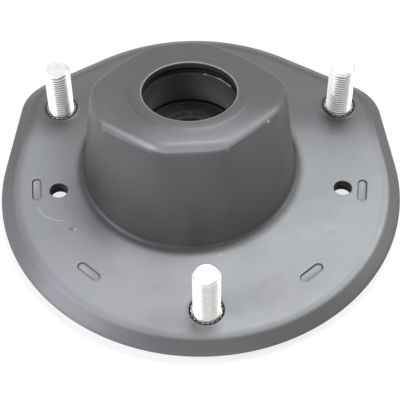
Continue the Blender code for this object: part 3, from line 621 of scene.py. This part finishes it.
def plate_outline(inset, fineness=1.0):
    """Return the plate's outline moved inwards by an inset, anticlockwise from the left side."""
    radius = FRONT_RADIUS - inset
    front_steps = round(104 * fineness)
    corner_steps = round(14 * fineness)
    arc_start = math.pi - SIDE_TAPER
    points = []
    for step in range(front_steps + 1):
        angle = arc_start + (math.pi + 2.0 * SIDE_TAPER) * step / front_steps
        across, back = radius * math.cos(angle), radius * math.sin(angle)
        points.append(Vector((across, FRONT_CENTRE_Y + back, 0.0)))
    left_end, right_end = points[0], points[-1]
    right_side = line_through(SIDE_TAPER, right_end.x, right_end.y, 0.0)
    left_side = line_through(math.pi - SIDE_TAPER, left_end.x, left_end.y, 0.0)
    right_back = line_through(0.5 * math.pi - BACK_SLOPE, BACK_CENTRE_X, BACK_POINT_Y, inset)
    left_back = line_through(0.5 * math.pi + BACK_SLOPE, BACK_CENTRE_X, BACK_POINT_Y, inset)
    right_corner = meeting_point(right_side, right_back)
    back_point = meeting_point(right_back, left_back)
    left_corner = meeting_point(left_back, left_side)
    arcs = (
        round_corner(right_end, right_corner, back_point, CORNER_RADIUS - inset, corner_steps),
        round_corner(right_corner, back_point, left_corner, BACK_RADIUS - inset, 2 * corner_steps),
        round_corner(back_point, left_corner, left_end, CORNER_RADIUS - inset, corner_steps),
    )
    for arc in arcs:
        points += [points[-1].lerp(arc[0], step / 8.0) for step in range(1, 8)] + arc
    return points + [points[-1].lerp(left_end, step / 8.0) for step in range(1, 8)]


print("outline points:", len(plate_outline(RIM_MARGIN)))

# %% [markdown]
# ## The tower's section
# The tower is round where it leaves the flange and eight-sided at its tilted top. Its section
# in any direction is a short chain of runs: the hole's edge, the raised ring, the shoulder, the
# wall and the foot. The eight sides come from one sum of powers, which gives flats with soft
# corners between them. A high power makes a corner crisp, and the front ones are the crispest.


# %% Tower section
def top_radius(angle, inset=0.0):
    """Return how far the rounded eight-sided outline lies from the hole's axis in a direction."""
    crispness = SIDE_CRISPNESS - FRONT_CRISPNESS_GAIN * math.sin(angle)
    total = 0.0
    for facing, distance in TOWER_SIDES:
        share = max(0.0, math.cos(angle - math.radians(facing))) / (distance - inset / MM)
        total += share ** crispness
    return MM * total ** (-1.0 / crispness)


def on_axis(radius, depth, angle):
    """Return a point at a radius and depth below the tower's top, seen from the strut's axis."""
    return STRUT_AXIS @ Vector((radius * math.cos(angle), radius * math.sin(angle), -depth))


def level_point(centre, radius, angle, z):
    """Return the point at a radius and an angle round a centre, at a height."""
    across, back = radius * math.cos(angle), radius * math.sin(angle)
    return Vector((centre.x + across, centre.y + back, z))


def at_foot(radius, angle, z):
    """Return a point on a level circle round the tower's foot."""
    return level_point(FOOT_CENTRE, radius, angle, z)


def divided(start, end, parts):
    """Return the points that divide a run, without its ends."""
    return [start.lerp(end, step / parts) for step in range(1, parts)]


def tower_section(angle):
    """Return the tower's outer skin in one direction, from the hole to the flange."""
    midway = 0.5 * (HOLE_RADIUS + RING_RADIUS)
    points = [on_axis(HOLE_RADIUS, 0.0, angle), on_axis(midway, 0.0, angle)]
    for step in range(7):
        share = step / 6.0
        drop = RING_STEP * share * share * (3.0 - 2.0 * share)
        points.append(on_axis(RING_RADIUS + RING_STEP_RUN * (share - 0.15), drop, angle))
    shoulder = on_axis(top_radius(angle), TOP_FALL, angle)
    foot = at_foot(FOOT_RADIUS, angle, FLANGE_TOP)
    flange = at_foot(2.0 * FOOT_RADIUS, angle, FLANGE_TOP)
    shoulder_arc = round_corner(points[-1], shoulder, foot, SHOULDER_ROUND, 9)
    foot_arc = round_corner(shoulder, foot, flange, FOOT_ROUND, 9)
    points += divided(points[-1], shoulder_arc[0], 3) + shoulder_arc
    points += divided(shoulder_arc[-1], foot_arc[0], 9) + foot_arc
    return points


SECTION_STEPS = 240
SECTION_ANGLES = [2.0 * math.pi * step / SECTION_STEPS for step in range(SECTION_STEPS)]
print("points in one section:", len(tower_section(0.0)))

# %% [markdown]
# ## Skins, flats and holes
# A pressed sheet is easiest to build as one skin that is thickened at the end. The curved parts
# are rings of points joined one to the next. The flat between them has an irregular outline and
# round holes, so a constrained triangulation fills it. That keeps every hole a clean loop, which
# a cut would not, and clean loops take an even bevel.


# %% Skin helpers
def add_rings(bm, rings):
    """Add rings of points and join each to the next; return the rings of vertices."""
    rows = [[bm.verts.new(point) for point in ring] for ring in rings]
    for inner, outer in zip(rows, rows[1:]):
        for index in range(len(inner)):
            after = (index + 1) % len(inner)
            bm.faces.new((inner[index], outer[index], outer[after], inner[after]))
    return rows


def circle(centre, radius, z, count):
    """Return a level circle of points."""
    turns = [2.0 * math.pi * step / count for step in range(count)]
    return [level_point(centre, radius, turn, z) for turn in turns]


def loop_round(ring, centre, growth):
    """Return the points of a ring moved away from a centre by a growth."""
    return [point + (point - centre).normalized() * growth for point in ring]


def fill_flat(bm, inner, outer, holes, guides):
    """Fill the level band between two rings of vertices, leaving holes open.

    Guides are loops that only steer the triangles: shading then bends in the narrow band
    between a hole and its guide, and the wide faces beyond stay level. A face whose corners
    all lie on one hole, or all on the inner ring, would close it, so it is left out.
    """
    loops = [outer, inner, *holes]
    closed = len(loops)
    loops += [[bm.verts.new(point) for point in guide] for guide in guides]
    corners = [vertex for loop in loops for vertex in loop]
    owner = [number for number, loop in enumerate(loops) for _ in loop]
    edges = []
    for loop in loops:
        start = 0 if not edges else edges[-1][0] + 1
        edges += [(start + i, start + (i + 1) % len(loop)) for i in range(len(loop))]
    flat = [vertex.co.xy / MM for vertex in corners]
    _, _, faces, origins, _, _ = delaunay_2d_cdt(flat, edges, [], 2, 1e-6)
    made = 0
    for face in faces:
        indices = [origins[i][0] for i in face]
        owners = {owner[i] for i in indices}
        if len(owners) > 1 or not 0 < min(owners) < closed:
            bm.faces.new([corners[i] for i in indices])
            made += 1
    return made


def thicken(piece, edge_break):
    """Give a skin its sheet thickness below it and break its cut edges."""
    solid = piece.modifiers.new("sheet", "SOLIDIFY")
    solid.thickness = SHEET
    solid.offset = -1.0
    solid.use_even_offset = True
    solid.use_quality_normals = True
    bevel = piece.modifiers.new("broken edges", "BEVEL")
    bevel.width = edge_break
    bevel.segments = 3
    bevel.limit_method = "ANGLE"
    bevel.angle_limit = math.radians(60.0)
    bevel.use_clamp_overlap = False


# %% [markdown]
# ## The upper plate
# This is the main pressing: tower, flange and turned-down rim in one sheet. It is built as the
# skin you would touch, from the hole's edge out to the rim, then thickened downwards. The four
# long marks are pressed in, not cut through, so each is taken out with a slot whose walls slope
# and whose mouth flares a little, as a punch leaves it.


# %% Marks and rim
def slot_ring(length, width, z, count=12):
    """Return the ring of a slot with round ends, lying along X."""
    radius = 0.5 * width
    run = 0.5 * length - radius
    ring = []
    for middle, start in ((run, -0.5 * math.pi), (-run, 0.5 * math.pi)):
        for step in range(count):
            angle = start + math.pi * step / (count - 1)
            ring.append(Vector((middle + radius * math.cos(angle), radius * math.sin(angle), z)))
    return ring


MARK_LENGTH = 12.8
MARK_WIDTH = 4.6
MARK_SECTION = (
    (-1.6, -0.88), (-1.25, -0.80), (-1.0, -0.62), (-0.6, -0.2), (-0.35, -0.05), (0.1, 0.01),
    (0.5, 0.3),
)


def mark_ring(radius, degrees, grow, level):
    """Return the ring of a mark, grown and lifted by amounts in millimetres."""
    angle = math.radians(degrees)
    away = radius * MM
    middle = (away * math.cos(angle), away * math.sin(angle), FLANGE_TOP)
    place = Matrix.Translation(middle) @ Matrix.Rotation(angle + 0.5 * math.pi, 4, "Z")
    ring = slot_ring((MARK_LENGTH + grow) * MM, (MARK_WIDTH + grow) * MM, level * MM)
    return [place @ point for point in ring]


def mark_punch():
    """Return the punch that presses the four marks."""
    bm = bmesh.new()
    for radius, degrees in MARKS:
        rings = [mark_ring(radius, degrees, grow, level) for grow, level in MARK_SECTION]
        rows = add_rings(bm, rings)
        bm.faces.new(rows[0])
        bm.faces.new(rows[-1])
    return link("mark_punch", mesh_from("mark_punch", bm))


RIM_FLAT = RIM_RUN + RIM_ROUND * math.tan(0.5 * math.atan2(RIM_DROP, RIM_RUN))


def rim_rings(margin):
    """Return the rings of the turned-down rim, from the flat flange to the cut edge."""
    flat = Vector((2.0 * RIM_RUN, 0.0, 0.0))
    bend = Vector((RIM_RUN, 0.0, 0.0))
    edge = Vector((margin, 0.0, -RIM_DROP * (1.0 - margin / RIM_RUN)))
    arc = round_corner(flat, bend, edge, RIM_ROUND, 10)
    section = [*arc, *divided(arc[-1], edge, 3), edge]
    return [
        [Vector((p.x, p.y, FLANGE_TOP + step.z)) for p in plate_outline(step.x)]
        for step in section
    ]


def foot_guide(row, z):
    """Return a guide just outside a row of vertices round the tower's foot."""
    ring = [vertex.co.copy() for vertex in row]
    return loop_round(ring, FOOT_CENTRE + Vector((0.0, 0.0, z)), 1.0 * MM)


# %% Upper plate
STUD_LIP = ((0.0, 0.10), (0.35, 0.22), (0.75, 0.16), (1.2, 0.03), (1.5, 0.0))
STUD_MOUTH = 7.35
STUD_GUIDE = 9.1
MARK_GUIDE = 2.4
GUIDE_GAP = 0.9 * MM
LIP_STEPS = 64
HOLE_STEPS = 48
EDGE_BREAK = 0.4 * MM
bm = bmesh.new()
tower_rows = add_rings(bm, list(zip(*[tower_section(angle) for angle in SECTION_ANGLES])))
rim_rows = add_rings(bm, rim_rings(RIM_MARGIN))
holes = []
guides = [mark_ring(radius, degrees, MARK_GUIDE, 0.0) for radius, degrees in MARKS]
guides.append(foot_guide(tower_rows[-1], FLANGE_TOP))
flat_edge = plate_outline(RIM_FLAT + 0.4 * MM)
guides.append([Vector((p.x, p.y, FLANGE_TOP)) for p in flat_edge])
for place in STUDS.values():
    lip = [
        circle(place, (STUD_MOUTH + grow) * MM, FLANGE_TOP + rise * MM, LIP_STEPS)
        for grow, rise in STUD_LIP
    ]
    holes.append(add_rings(bm, lip)[-1])
    guides.append(circle(place, STUD_GUIDE * MM, FLANGE_TOP, LIP_STEPS))
for place in JIG_HOLES:
    rim = circle(place, JIG_HOLE_RADIUS, FLANGE_TOP, HOLE_STEPS)
    holes.append([bm.verts.new(point) for point in rim])
    guides.append(circle(place, JIG_HOLE_RADIUS + GUIDE_GAP, FLANGE_TOP, HOLE_STEPS))
print("flat triangles:", fill_flat(bm, tower_rows[-1], rim_rows[0], holes, guides))
upper_plate = link("upper_pressing", mesh_from("upper_pressing", bm))
upper_plate.data.materials.append(coat.material)
thicken(upper_plate, EDGE_BREAK)
cut_out(upper_plate, mark_punch())
seat(upper_plate, "upper_plate", "mount")

# %% [markdown]
# ## The lower plate
# A second sheet is welded under the flange. Its dish rises into the tower and holds the rubber
# from below, open in its middle. The same rules make it: sections round the strut's axis, a
# level band and an edge.


# %% Lower plate
HOUSING_SHEET = 2.4 * MM
BEARING_RADIUS = 23.5 * MM
BEARING_WIDTH = 14.0 * MM
BEARING_DEPTH = 21.0 * MM
HOUSING_BORE = BEARING_RADIUS + SEAT_GAP
HOUSING_BEND = 1.0 * MM
HOUSING_BRIM = 4.3 * MM
HOUSING_FLANGE_RADIUS = HOUSING_BORE + HOUSING_SHEET + HOUSING_BEND + HOUSING_BRIM
HOUSING_FLANGE_DEPTH = BEARING_DEPTH + BEARING_WIDTH
CUSHION_FLOOR = 4.8 * MM
DISH_DEPTH = HOUSING_FLANGE_DEPTH + HOUSING_SHEET + CUSHION_FLOOR + 2.0 * SEAT_GAP
DISH_ROUND = 3.5 * MM
DISH_RADIUS = HOUSING_FLANGE_RADIUS + 0.5 * MM
DISH_MOUTH_RADIUS = DISH_RADIUS - 6.5 * MM
DISH_FOOT_RADIUS = 39.1 * MM
LOWER_PLATE_INSET = 9.0 * MM
LOWER_EDGE_BREAK = 0.35 * MM


def dish_section(angle, gap=0.0):
    """Return the dish's upper side in one direction, from its mouth to its foot."""
    mouth = on_axis(DISH_MOUTH_RADIUS, DISH_DEPTH - gap, angle)
    brim = on_axis(DISH_RADIUS + gap, DISH_DEPTH - gap, angle)
    foot = at_foot(DISH_FOOT_RADIUS + gap, angle, LOWER_PLATE_TOP + gap)
    flange = at_foot(2.0 * FOOT_RADIUS, angle, LOWER_PLATE_TOP + gap)
    brim_arc = round_corner(mouth, brim, foot, DISH_ROUND, 7)
    foot_arc = round_corner(brim, foot, flange, DISH_ROUND, 7)
    return [mouth, *brim_arc, *divided(brim_arc[-1], foot_arc[0], 4), *foot_arc]


bm = bmesh.new()
dish_rows = add_rings(bm, list(zip(*[dish_section(angle) for angle in SECTION_ANGLES[::2]])))
edge = plate_outline(LOWER_PLATE_INSET, 0.75)
edge_row = [bm.verts.new((p.x, p.y, LOWER_PLATE_TOP)) for p in edge]
holes = []
guides = [foot_guide(dish_rows[-1], LOWER_PLATE_TOP)]
for place, radius in ROUND_HOLES:
    rim = circle(place, radius, LOWER_PLATE_TOP, HOLE_STEPS)
    holes.append([bm.verts.new(point) for point in rim])
    guides.append(circle(place, radius + GUIDE_GAP, LOWER_PLATE_TOP, HOLE_STEPS))
print("flat triangles:", fill_flat(bm, dish_rows[-1], edge_row, holes, guides))
lower_plate = link("lower_pressing", mesh_from("lower_pressing", bm))
lower_plate.data.materials.append(coat.material)
thicken(lower_plate, LOWER_EDGE_BREAK)
bake(lower_plate)
seat(lower_plate, "lower_plate", "mount")

# %% [markdown]
# ## A lathe in nodes
# The housing, the races, the seals and the studs are all turned about an axis, so one rule makes
# them: point i, j of a grid goes to the angle of i at the radius and height of profile point j.
# Geometry Nodes state that rule once. The tree reads the profile from a mesh, takes its number
# of segments as an input, and can cut teeth where the profile asks for them.


# %% Node tree of the lathe
class Rule(Tree):
    """A Geometry Nodes tree with named inputs, which a modifier runs on a piece."""

    def __init__(self, name, inputs):
        super().__init__(bpy.data.node_groups.new(name, "GeometryNodeTree"))
        side = self.tree.interface
        side.new_socket("Geometry", in_out="INPUT", socket_type="NodeSocketGeometry")
        side.new_socket("Geometry", in_out="OUTPUT", socket_type="NodeSocketGeometry")
        for label, kind, value in inputs:
            socket = side.new_socket(label, in_out="INPUT", socket_type="NodeSocket" + kind)
            socket.default_value = value
        self.given = self.tree.nodes.new("NodeGroupInput").outputs
        self.result = self.tree.nodes.new("NodeGroupOutput").inputs[0]

    def grid_steps(self, rows):
        """Return the column and the row in which each point of a grid stands."""
        index = self.add("GeometryNodeInputIndex").outputs[0]
        column = self.maths("FLOOR", self.over(self.plus(index, 0.5), rows))
        return column, self.less(index, self.times(column, rows))

    def wound(self, grid, radius, angle, height, material):
        """Wind a grid round Z, close its seam, and hand it out in a material."""
        x = self.times(radius, self.maths("COSINE", angle))
        y = self.times(radius, self.maths("SINE", angle))
        place = self.add("ShaderNodeCombineXYZ", {0: x, 1: y, 2: height}).outputs[0]
        feeds = {"Geometry": grid.outputs["Mesh"], "Position": place}
        moved = self.add("GeometryNodeSetPosition", feeds)
        feeds = {"Geometry": moved.outputs[0], "Distance": SPECK}
        merged = self.add("GeometryNodeMergeByDistance", feeds)
        real = self.add("GeometryNodeRealizeInstances", {"Geometry": merged.outputs[0]})
        feeds = {"Geometry": real.outputs[0], "Material": material}
        self.feed(self.result, self.add("GeometryNodeSetMaterial", feeds).outputs[0])

    def use_on(self, piece, **values):
        """Add the rule to a piece, with its inputs set by their identifiers."""
        modifier = piece.modifiers.new(self.tree.name, "NODES")
        modifier.node_group = self.tree
        for item in self.tree.interface.items_tree:
            if item.in_out == "INPUT" and item.name in values:
                modifier[item.identifier] = values[item.name]
        return piece


def lathe_rule(name, material):
    """Return a rule that turns a profile of radius (X), tooth depth (Y) and height (Z)."""
    rule = Rule(name, (("Segments", "Int", 128), ("Points", "Int", 4), ("Teeth", "Int", 1)))
    given = rule.given
    columns = rule.plus(given["Segments"], 1.0)
    grid = rule.add("GeometryNodeMeshGrid", {"Vertices X": columns, "Vertices Y": given["Points"]})
    column, row = rule.grid_steps(given["Points"])
    place = rule.add("GeometryNodeInputPosition").outputs[0]
    feeds = {"Geometry": given["Geometry"], "Value": place, "Index": row}
    sample = rule.add("GeometryNodeSampleIndex", feeds, data_type="FLOAT_VECTOR")
    radius, tooth_depth, height = rule.split(sample.outputs[0])
    angle = rule.over(rule.times(column, 2.0 * math.pi), given["Segments"])
    wave = rule.maths("COSINE", rule.times(angle, given["Teeth"]))
    valley = rule.times(rule.less(1.0, wave), 0.5)
    radius = rule.less(radius, rule.times(valley, tooth_depth))
    rule.wound(grid, radius, angle, height, material)
    return rule


def clean(piece, axis, open_ends=False):
    """Clear a baked piece of slivers, close its ends, place it on an axis and shade it."""
    bm = bmesh.new()
    bm.from_mesh(piece.data)
    bmesh.ops.dissolve_degenerate(bm, edges=bm.edges, dist=SPECK)
    if open_ends:
        rim = [edge for edge in bm.edges if edge.is_boundary]
        bmesh.ops.holes_fill(bm, edges=rim, sides=0)
    bmesh.ops.recalc_face_normals(bm, faces=bm.faces)
    bm.transform(axis)
    bm.to_mesh(piece.data)
    bm.free()
    shade(piece.data)


def turn_piece(name, rule, profile, segments, axis, teeth=1):
    """Turn a closed profile given in millimetres and place it on an axis."""
    corners = [tuple(number * MM for number in point) for point in [*profile, profile[0]]]
    mesh = bpy.data.meshes.new(name)
    mesh.from_pydata([(p[0], p[2] if len(p) > 2 else 0.0, p[1]) for p in corners], [], [])
    piece = rule.use_on(link(name, mesh), Segments=segments, Points=len(corners), Teeth=teeth)
    bake(piece)
    clean(piece, axis)
    return piece


def softened(profile, radius, steps=3):
    """Return a closed profile in millimetres with every corner rounded by a small radius."""
    points = []
    for index, corner in enumerate(profile):
        here = Vector((*corner, 0.0))
        before = Vector((*profile[index - 1], 0.0))
        after = Vector((*profile[(index + 1) % len(profile)], 0.0))
        reach = 0.45 * min((before - here).length, (after - here).length)
        half = 0.5 * (before - here).angle(after - here)
        fit = min(radius, reach * math.tan(half))
        points += [(p.x, p.y) for p in round_corner(before, here, after, fit, steps)]
    return points


# %% [markdown]
# ## Housing, races and seals
# Looking into the tower you see the housing's tube, a step, the bearing's seal and the dark
# inner race. The profiles are those of the solids, with their edges eased as turning leaves them.

# %% Turned pieces
coat_lathe = lathe_rule("turned in black coat", housing_coat.material)
rubber_lathe = lathe_rule("turned in rubber", rubber.material)
steel_lathe = lathe_rule("turned in race steel", race_steel.material)
dark_lathe = lathe_rule("turned in blackened steel", dark_steel.material)
BEARING_MIDDLE = BEARING_DEPTH + 0.5 * BEARING_WIDTH
bearing_axis = STRUT_AXIS @ Matrix.Translation((0.0, 0.0, -BEARING_MIDDLE))
HOUSING_PROFILE = (
    (20.6, -5.6), (23.0, -5.6), (23.0, -18.3), (25.2, -18.3), (26.2, -19.3), (26.2, -34.0),
    (27.2, -35.0), (31.5, -35.0), (31.5, -37.4), (27.2, -37.4), (23.8, -34.0), (23.8, -20.7),
    (20.6, -20.7),
)
housing = turn_piece("pressed_housing", coat_lathe, softened(HOUSING_PROFILE, 0.5), 144, STRUT_AXIS)
seat(housing, "bearing_housing", "mount")

BALL_CIRCLE = 16.0
GROOVE_RADIUS = 4.65
GROOVE_REACH = 3.5


def groove(side):
    """Return a race's ball groove, from its upper to its lower edge."""
    half = math.atan2(math.sqrt(GROOVE_RADIUS ** 2 - GROOVE_REACH ** 2), GROOVE_REACH)
    turns = [half * (1.0 - step / 6.0) for step in range(13)]
    return [
        (BALL_CIRCLE + side * GROOVE_RADIUS * math.cos(a), GROOVE_RADIUS * math.sin(a))
        for a in turns
    ]


OUTER_RACE = [
    (23.5, 6.2), (22.7, 7.0), (20.8, 7.0), (20.8, 5.4), (19.5, 5.4), *groove(1.0),
    (19.5, -5.4), (20.8, -5.4), (20.8, -7.0), (22.7, -7.0), (23.5, -6.2),
]
outer_race = turn_piece("outer_ring", steel_lathe, OUTER_RACE, 96, bearing_axis)
seat(outer_race, "bearing_outer_race", "mount")
INNER_RACE = [
    (8.5, 6.2), (9.3, 7.0), (12.5, 7.0), *groove(-1.0), (12.5, -7.0), (9.3, -7.0), (8.5, -6.2),
]
inner_race = turn_piece("inner_ring_race", dark_lathe, INNER_RACE, 96, bearing_axis)
seat(inner_race, "bearing_inner_race", "inner_ring")
SEAL_PROFILE = (
    (12.8, 5.7), (12.8, 6.5), (13.4, 6.7), (14.0, 6.35), (19.0, 6.35), (19.5, 6.7), (20.5, 6.7),
    (20.5, 5.7),
)
for name, node, side in (("top_seal", "upper_seal", 1.0), ("bottom_seal", "lower_seal", -1.0)):
    profile = [(radius, side * height) for radius, height in SEAL_PROFILE]
    seat(turn_piece(name, rubber_lathe, profile, 96, bearing_axis), node, "mount")

# %% [markdown]
# ## The rubber cushion
# The rubber fills the tower round the housing. Only its mouth under the tower's hole and its
# underside can be seen. It is built like its solid, as stacked rings, and the turned space for
# the housing is cut out of it.


# %% Rubber cushion
def cushion_section(angle):
    """Return the cushion's outside in one direction, from its top to its underside."""
    wall_top = on_axis(top_radius(angle), TOP_FALL, angle)
    wall_foot = at_foot(FOOT_RADIUS, angle, FLANGE_TOP)
    lean = math.atan2((wall_foot.xy - wall_top.xy).length, wall_top.z - wall_foot.z)
    inset = (SHEET + SEAT_GAP) / math.cos(lean)
    depth = SHEET + SEAT_GAP + TOP_FALL
    shoulder = on_axis(top_radius(angle, inset), depth, angle)
    foot = at_foot(FOOT_RADIUS - inset, angle, LOWER_PLATE_TOP + SEAT_GAP)
    middle = on_axis(10.8 * MM, depth, angle)
    arc = round_corner(middle, shoulder, foot, 2.0 * MM, 4)
    return [middle, *arc, *divided(arc[-1], foot, 5), foot] + dish_section(angle, SEAT_GAP)[::-1]


bm = bmesh.new()
rows = add_rings(bm, list(zip(*[cushion_section(angle) for angle in SECTION_ANGLES[::2]])))
bm.faces.new(rows[0])
bm.faces.new(rows[-1])
cushion = link("moulded_cushion", mesh_from("moulded_cushion", bm))
cushion.data.materials.append(rubber.material)
SPACE_PROFILE = (
    (0.0, 0.0), (21.6, 0.0), (21.6, -5.3), (23.3, -5.3), (23.3, -18.0), (25.5, -18.0),
    (26.5, -19.0), (26.5, -33.7), (27.5, -34.7), (31.8, -34.7), (31.8, -37.7), (27.0, -37.7),
    (27.0, -85.0), (0.0, -85.0),
)
cut_out(cushion, turn_piece("housing_space", rubber_lathe, SPACE_PROFILE, 144, STRUT_AXIS))
seat(cushion, "rubber_cushion", "mount")

# %% [markdown]
# ## The studs
# Each stud is pressed in from below: a flat head, a serrated neck that bites into both sheets
# and a thread above. The head and neck are turned, with teeth only on the neck. The thread is a
# rule of its own. Its grid is sheared along the helix, so each row runs along one height of the
# thread, and crest, flanks and root come out crisp with few faces.


# %% Node tree of the thread
HALF_CREST = 0.0625
FLANK = 0.3125


def thread_rule(material):
    """Return a rule that winds an outside thread round Z, from a start to an end height.

    A thread's section is given in shares of its pitch: half of the flat crest, then a flank.
    """
    rule = Rule("outside thread", (
        ("Radius", "Float", 6.0 * MM), ("Pitch", "Float", 1.5 * MM), ("Depth", "Float", 0.92 * MM),
        ("Start", "Float", 0.0), ("End", "Float", 20.0 * MM), ("Chamfer", "Float", 1.2 * MM),
        ("Rows per turn", "Int", 8), ("Turns", "Int", 20), ("Segments", "Int", 40),
    ))
    given = rule.given
    rows = rule.plus(rule.times(given["Turns"], given["Rows per turn"]), 1.0)
    columns = rule.plus(given["Segments"], 1.0)
    grid = rule.add("GeometryNodeMeshGrid", {"Vertices X": columns, "Vertices Y": rows})
    column, row = rule.grid_steps(rows)
    turn = rule.over(column, given["Segments"])
    phase = rule.over(row, given["Rows per turn"])
    climb = rule.times(rule.plus(rule.less(phase, 1.0), turn), given["Pitch"])
    height = rule.least(rule.plus(given["Start"], climb), given["End"])
    height = rule.most(height, given["Start"])
    ridge = rule.maths("ABSOLUTE", rule.less(rule.maths("FRACT", phase), 0.5))
    cut = rule.least(rule.most(rule.less(ridge, HALF_CREST), 0.0), FLANK)
    radius = rule.less(given["Radius"], rule.times(rule.over(cut, FLANK), given["Depth"]))
    limit = rule.less(rule.plus(rule.less(given["End"], height), given["Radius"]), given["Chamfer"])
    angle = rule.times(turn, 2.0 * math.pi)
    rule.wound(grid, rule.least(radius, limit), angle, height, material)
    return rule


# %% Studs
zinc_lathe = lathe_rule("turned in zinc", zinc.material)
thread = thread_rule(zinc.material)
NECK_TOP = FACE + 0.3
STUD_TOP = FACE + 26.5
STUD_BODY = (
    (0.0, 0.0), (8.1, 0.0), (8.35, 0.08), (8.55, 0.3), (8.6, 0.5), (8.6, 2.4), (8.45, 2.7),
    (8.2, 2.8), (7.2, 2.8, 0.4), (7.2, NECK_TOP - 0.3, 0.4), (7.1, NECK_TOP - 0.1, 0.35),
    (6.95, NECK_TOP, 0.25), (6.65, NECK_TOP - 0.05, 0.1), (6.5, NECK_TOP - 0.3),
    (6.4, NECK_TOP - 1.2), (5.0, NECK_TOP - 1.2), (0.0, NECK_TOP - 1.2),
)
for number, (name, place) in enumerate(STUDS.items()):
    axis = Matrix.Translation(place) @ Matrix.Rotation(0.7 + 1.9 * number, 4, "Z")
    stud = turn_piece(name + "_plated", zinc_lathe, STUD_BODY, 120, axis, teeth=20)
    shank = link(name + "_thread", bpy.data.meshes.new(name + "_thread"))
    thread.use_on(shank, Start=(NECK_TOP - 1.1) * MM, End=STUD_TOP * MM, Turns=21)
    bake(shank)
    clean(shank, axis, open_ends=True)
    bm = bmesh.new()
    bm.from_mesh(shank.data)
    bm.from_mesh(stud.data)
    bm.to_mesh(stud.data)
    bm.free()
    shade(stud.data)
    bpy.data.objects.remove(shank)
    seat(stud, name, "mount")

# %% [markdown]
# ## What stays as it is
# The balls and their cage are sealed inside the bearing, so their solids are fine as they are
# and only take a finish.

# %% Finishes for the balls and the cage
sealed_in = [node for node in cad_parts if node.startswith("ball_")]
for node in sealed_in:
    finish = cage_plastic if node == "ball_cage" else race_steel
    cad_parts[node].data.materials.clear()
    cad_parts[node].data.materials.append(finish.material)
print("dressed:", sealed_in)

# %% [markdown]
# ## The studio
# The mount stands on a pale sweep. The floor is a plain matt surface that shows its shadows, and
# only towards the camera and in reflections is it lifted to white, so the white never lights
# the object. The world works the same way: white to the eye, and a faint even light otherwise.


# %% Floor and world
def seen_by_eye(tree):
    """Return 1 for rays that look or mirror and 0 for rays that light."""
    path = tree.add("ShaderNodeLightPath").outputs
    return tree.most(path["Is Camera Ray"], path["Is Glossy Ray"], path["Is Transmission Ray"])


floor_material = bpy.data.materials.new("pale_floor")
floor_material.use_nodes = True
paint = Tree(floor_material.node_tree)
paint.tree.nodes.clear()
matt = paint.add("ShaderNodeBsdfDiffuse", {"Color": (0.27, 0.27, 0.27, 1.0)})
glow = paint.add("ShaderNodeEmission", {"Strength": paint.times(seen_by_eye(paint), 0.80)})
lifted = paint.add("ShaderNodeAddShader", {0: matt.outputs[0], 1: glow.outputs[0]})
paint.add("ShaderNodeOutputMaterial", {"Surface": lifted.outputs[0]})
floor_mesh = bpy.data.meshes.new("floor")
floor_mesh.from_pydata([(-4, -4, 0), (4, -4, 0), (4, 4, 0), (-4, 4, 0)], [], [(0, 1, 2, 3)])
floor_mesh.materials.append(floor_material)
link("floor", floor_mesh)

world = bpy.data.worlds.new("studio")
scene.world = world
world.use_nodes = True
air = Tree(world.node_tree)
air.tree.nodes.clear()
WHITE = (1.0, 1.0, 1.0, 1.0)
room = air.add("ShaderNodeBackground", {"Color": WHITE, "Strength": 0.06})
white = air.add("ShaderNodeBackground", {"Color": WHITE, "Strength": 1.0})
feeds = {0: seen_by_eye(air), 1: room.outputs[0], 2: white.outputs[0]}
either = air.add("ShaderNodeMixShader", feeds)
air.add("ShaderNodeOutputWorld", {"Surface": either.outputs[0]})
print("nodes of floor and world:", len(paint.tree.nodes), len(air.tree.nodes))


# %% [markdown]
# ## The lamps
# Four soft lamps make the look, and each is placed by what the coat mirrors of it. The main one
# hangs high behind, a little to the right: the flange mirrors it, and the walls, which look
# down at the floor, stay dark. One on the left tints that rim, one on the right lifts the right
# walls, and a broad, weak one in front keeps the front from going black.


# %% Lamps
LAMP_DISTANCE = 1.3


def add_lamp(name, turn, rise, size, radiance, colour=(1.0, 1.0, 1.0)):
    """Hang a square lamp that looks at the mount, by its turn from +X and its rise."""
    turn, rise = math.radians(turn), math.radians(rise)
    level = math.cos(rise)
    away = Vector((level * math.cos(turn), level * math.sin(turn), math.sin(rise)))
    lamp_data = bpy.data.lights.new(name, "AREA")
    lamp_data.size = size
    lamp_data.energy = radiance * math.pi * size * size
    lamp_data.color = colour
    lamp = bpy.data.objects.new(name, lamp_data)
    lamp.location = away * LAMP_DISTANCE
    lamp.rotation_mode = "QUATERNION"
    lamp.rotation_quaternion = away.to_track_quat("Z", "Y")
    scene.collection.objects.link(lamp)
    print(name, "gives", round(lamp_data.energy, 2), "W")


add_lamp("main_lamp", 72.0, 67.0, 0.46, 10.4, (0.98, 1.0, 1.02))
add_lamp("left_lamp", 199.0, 33.0, 0.60, 7.8, (1.0, 0.975, 1.03))
add_lamp("right_lamp", 18.0, 38.0, 0.60, 6.2)
add_lamp("front_lamp", 272.0, 21.0, 0.95, 1.34)

# %% [markdown]
# ## The picture
# The Standard view shows colours as the finishes give them.

# %% Picture settings
scene.view_settings.view_transform = "Standard"
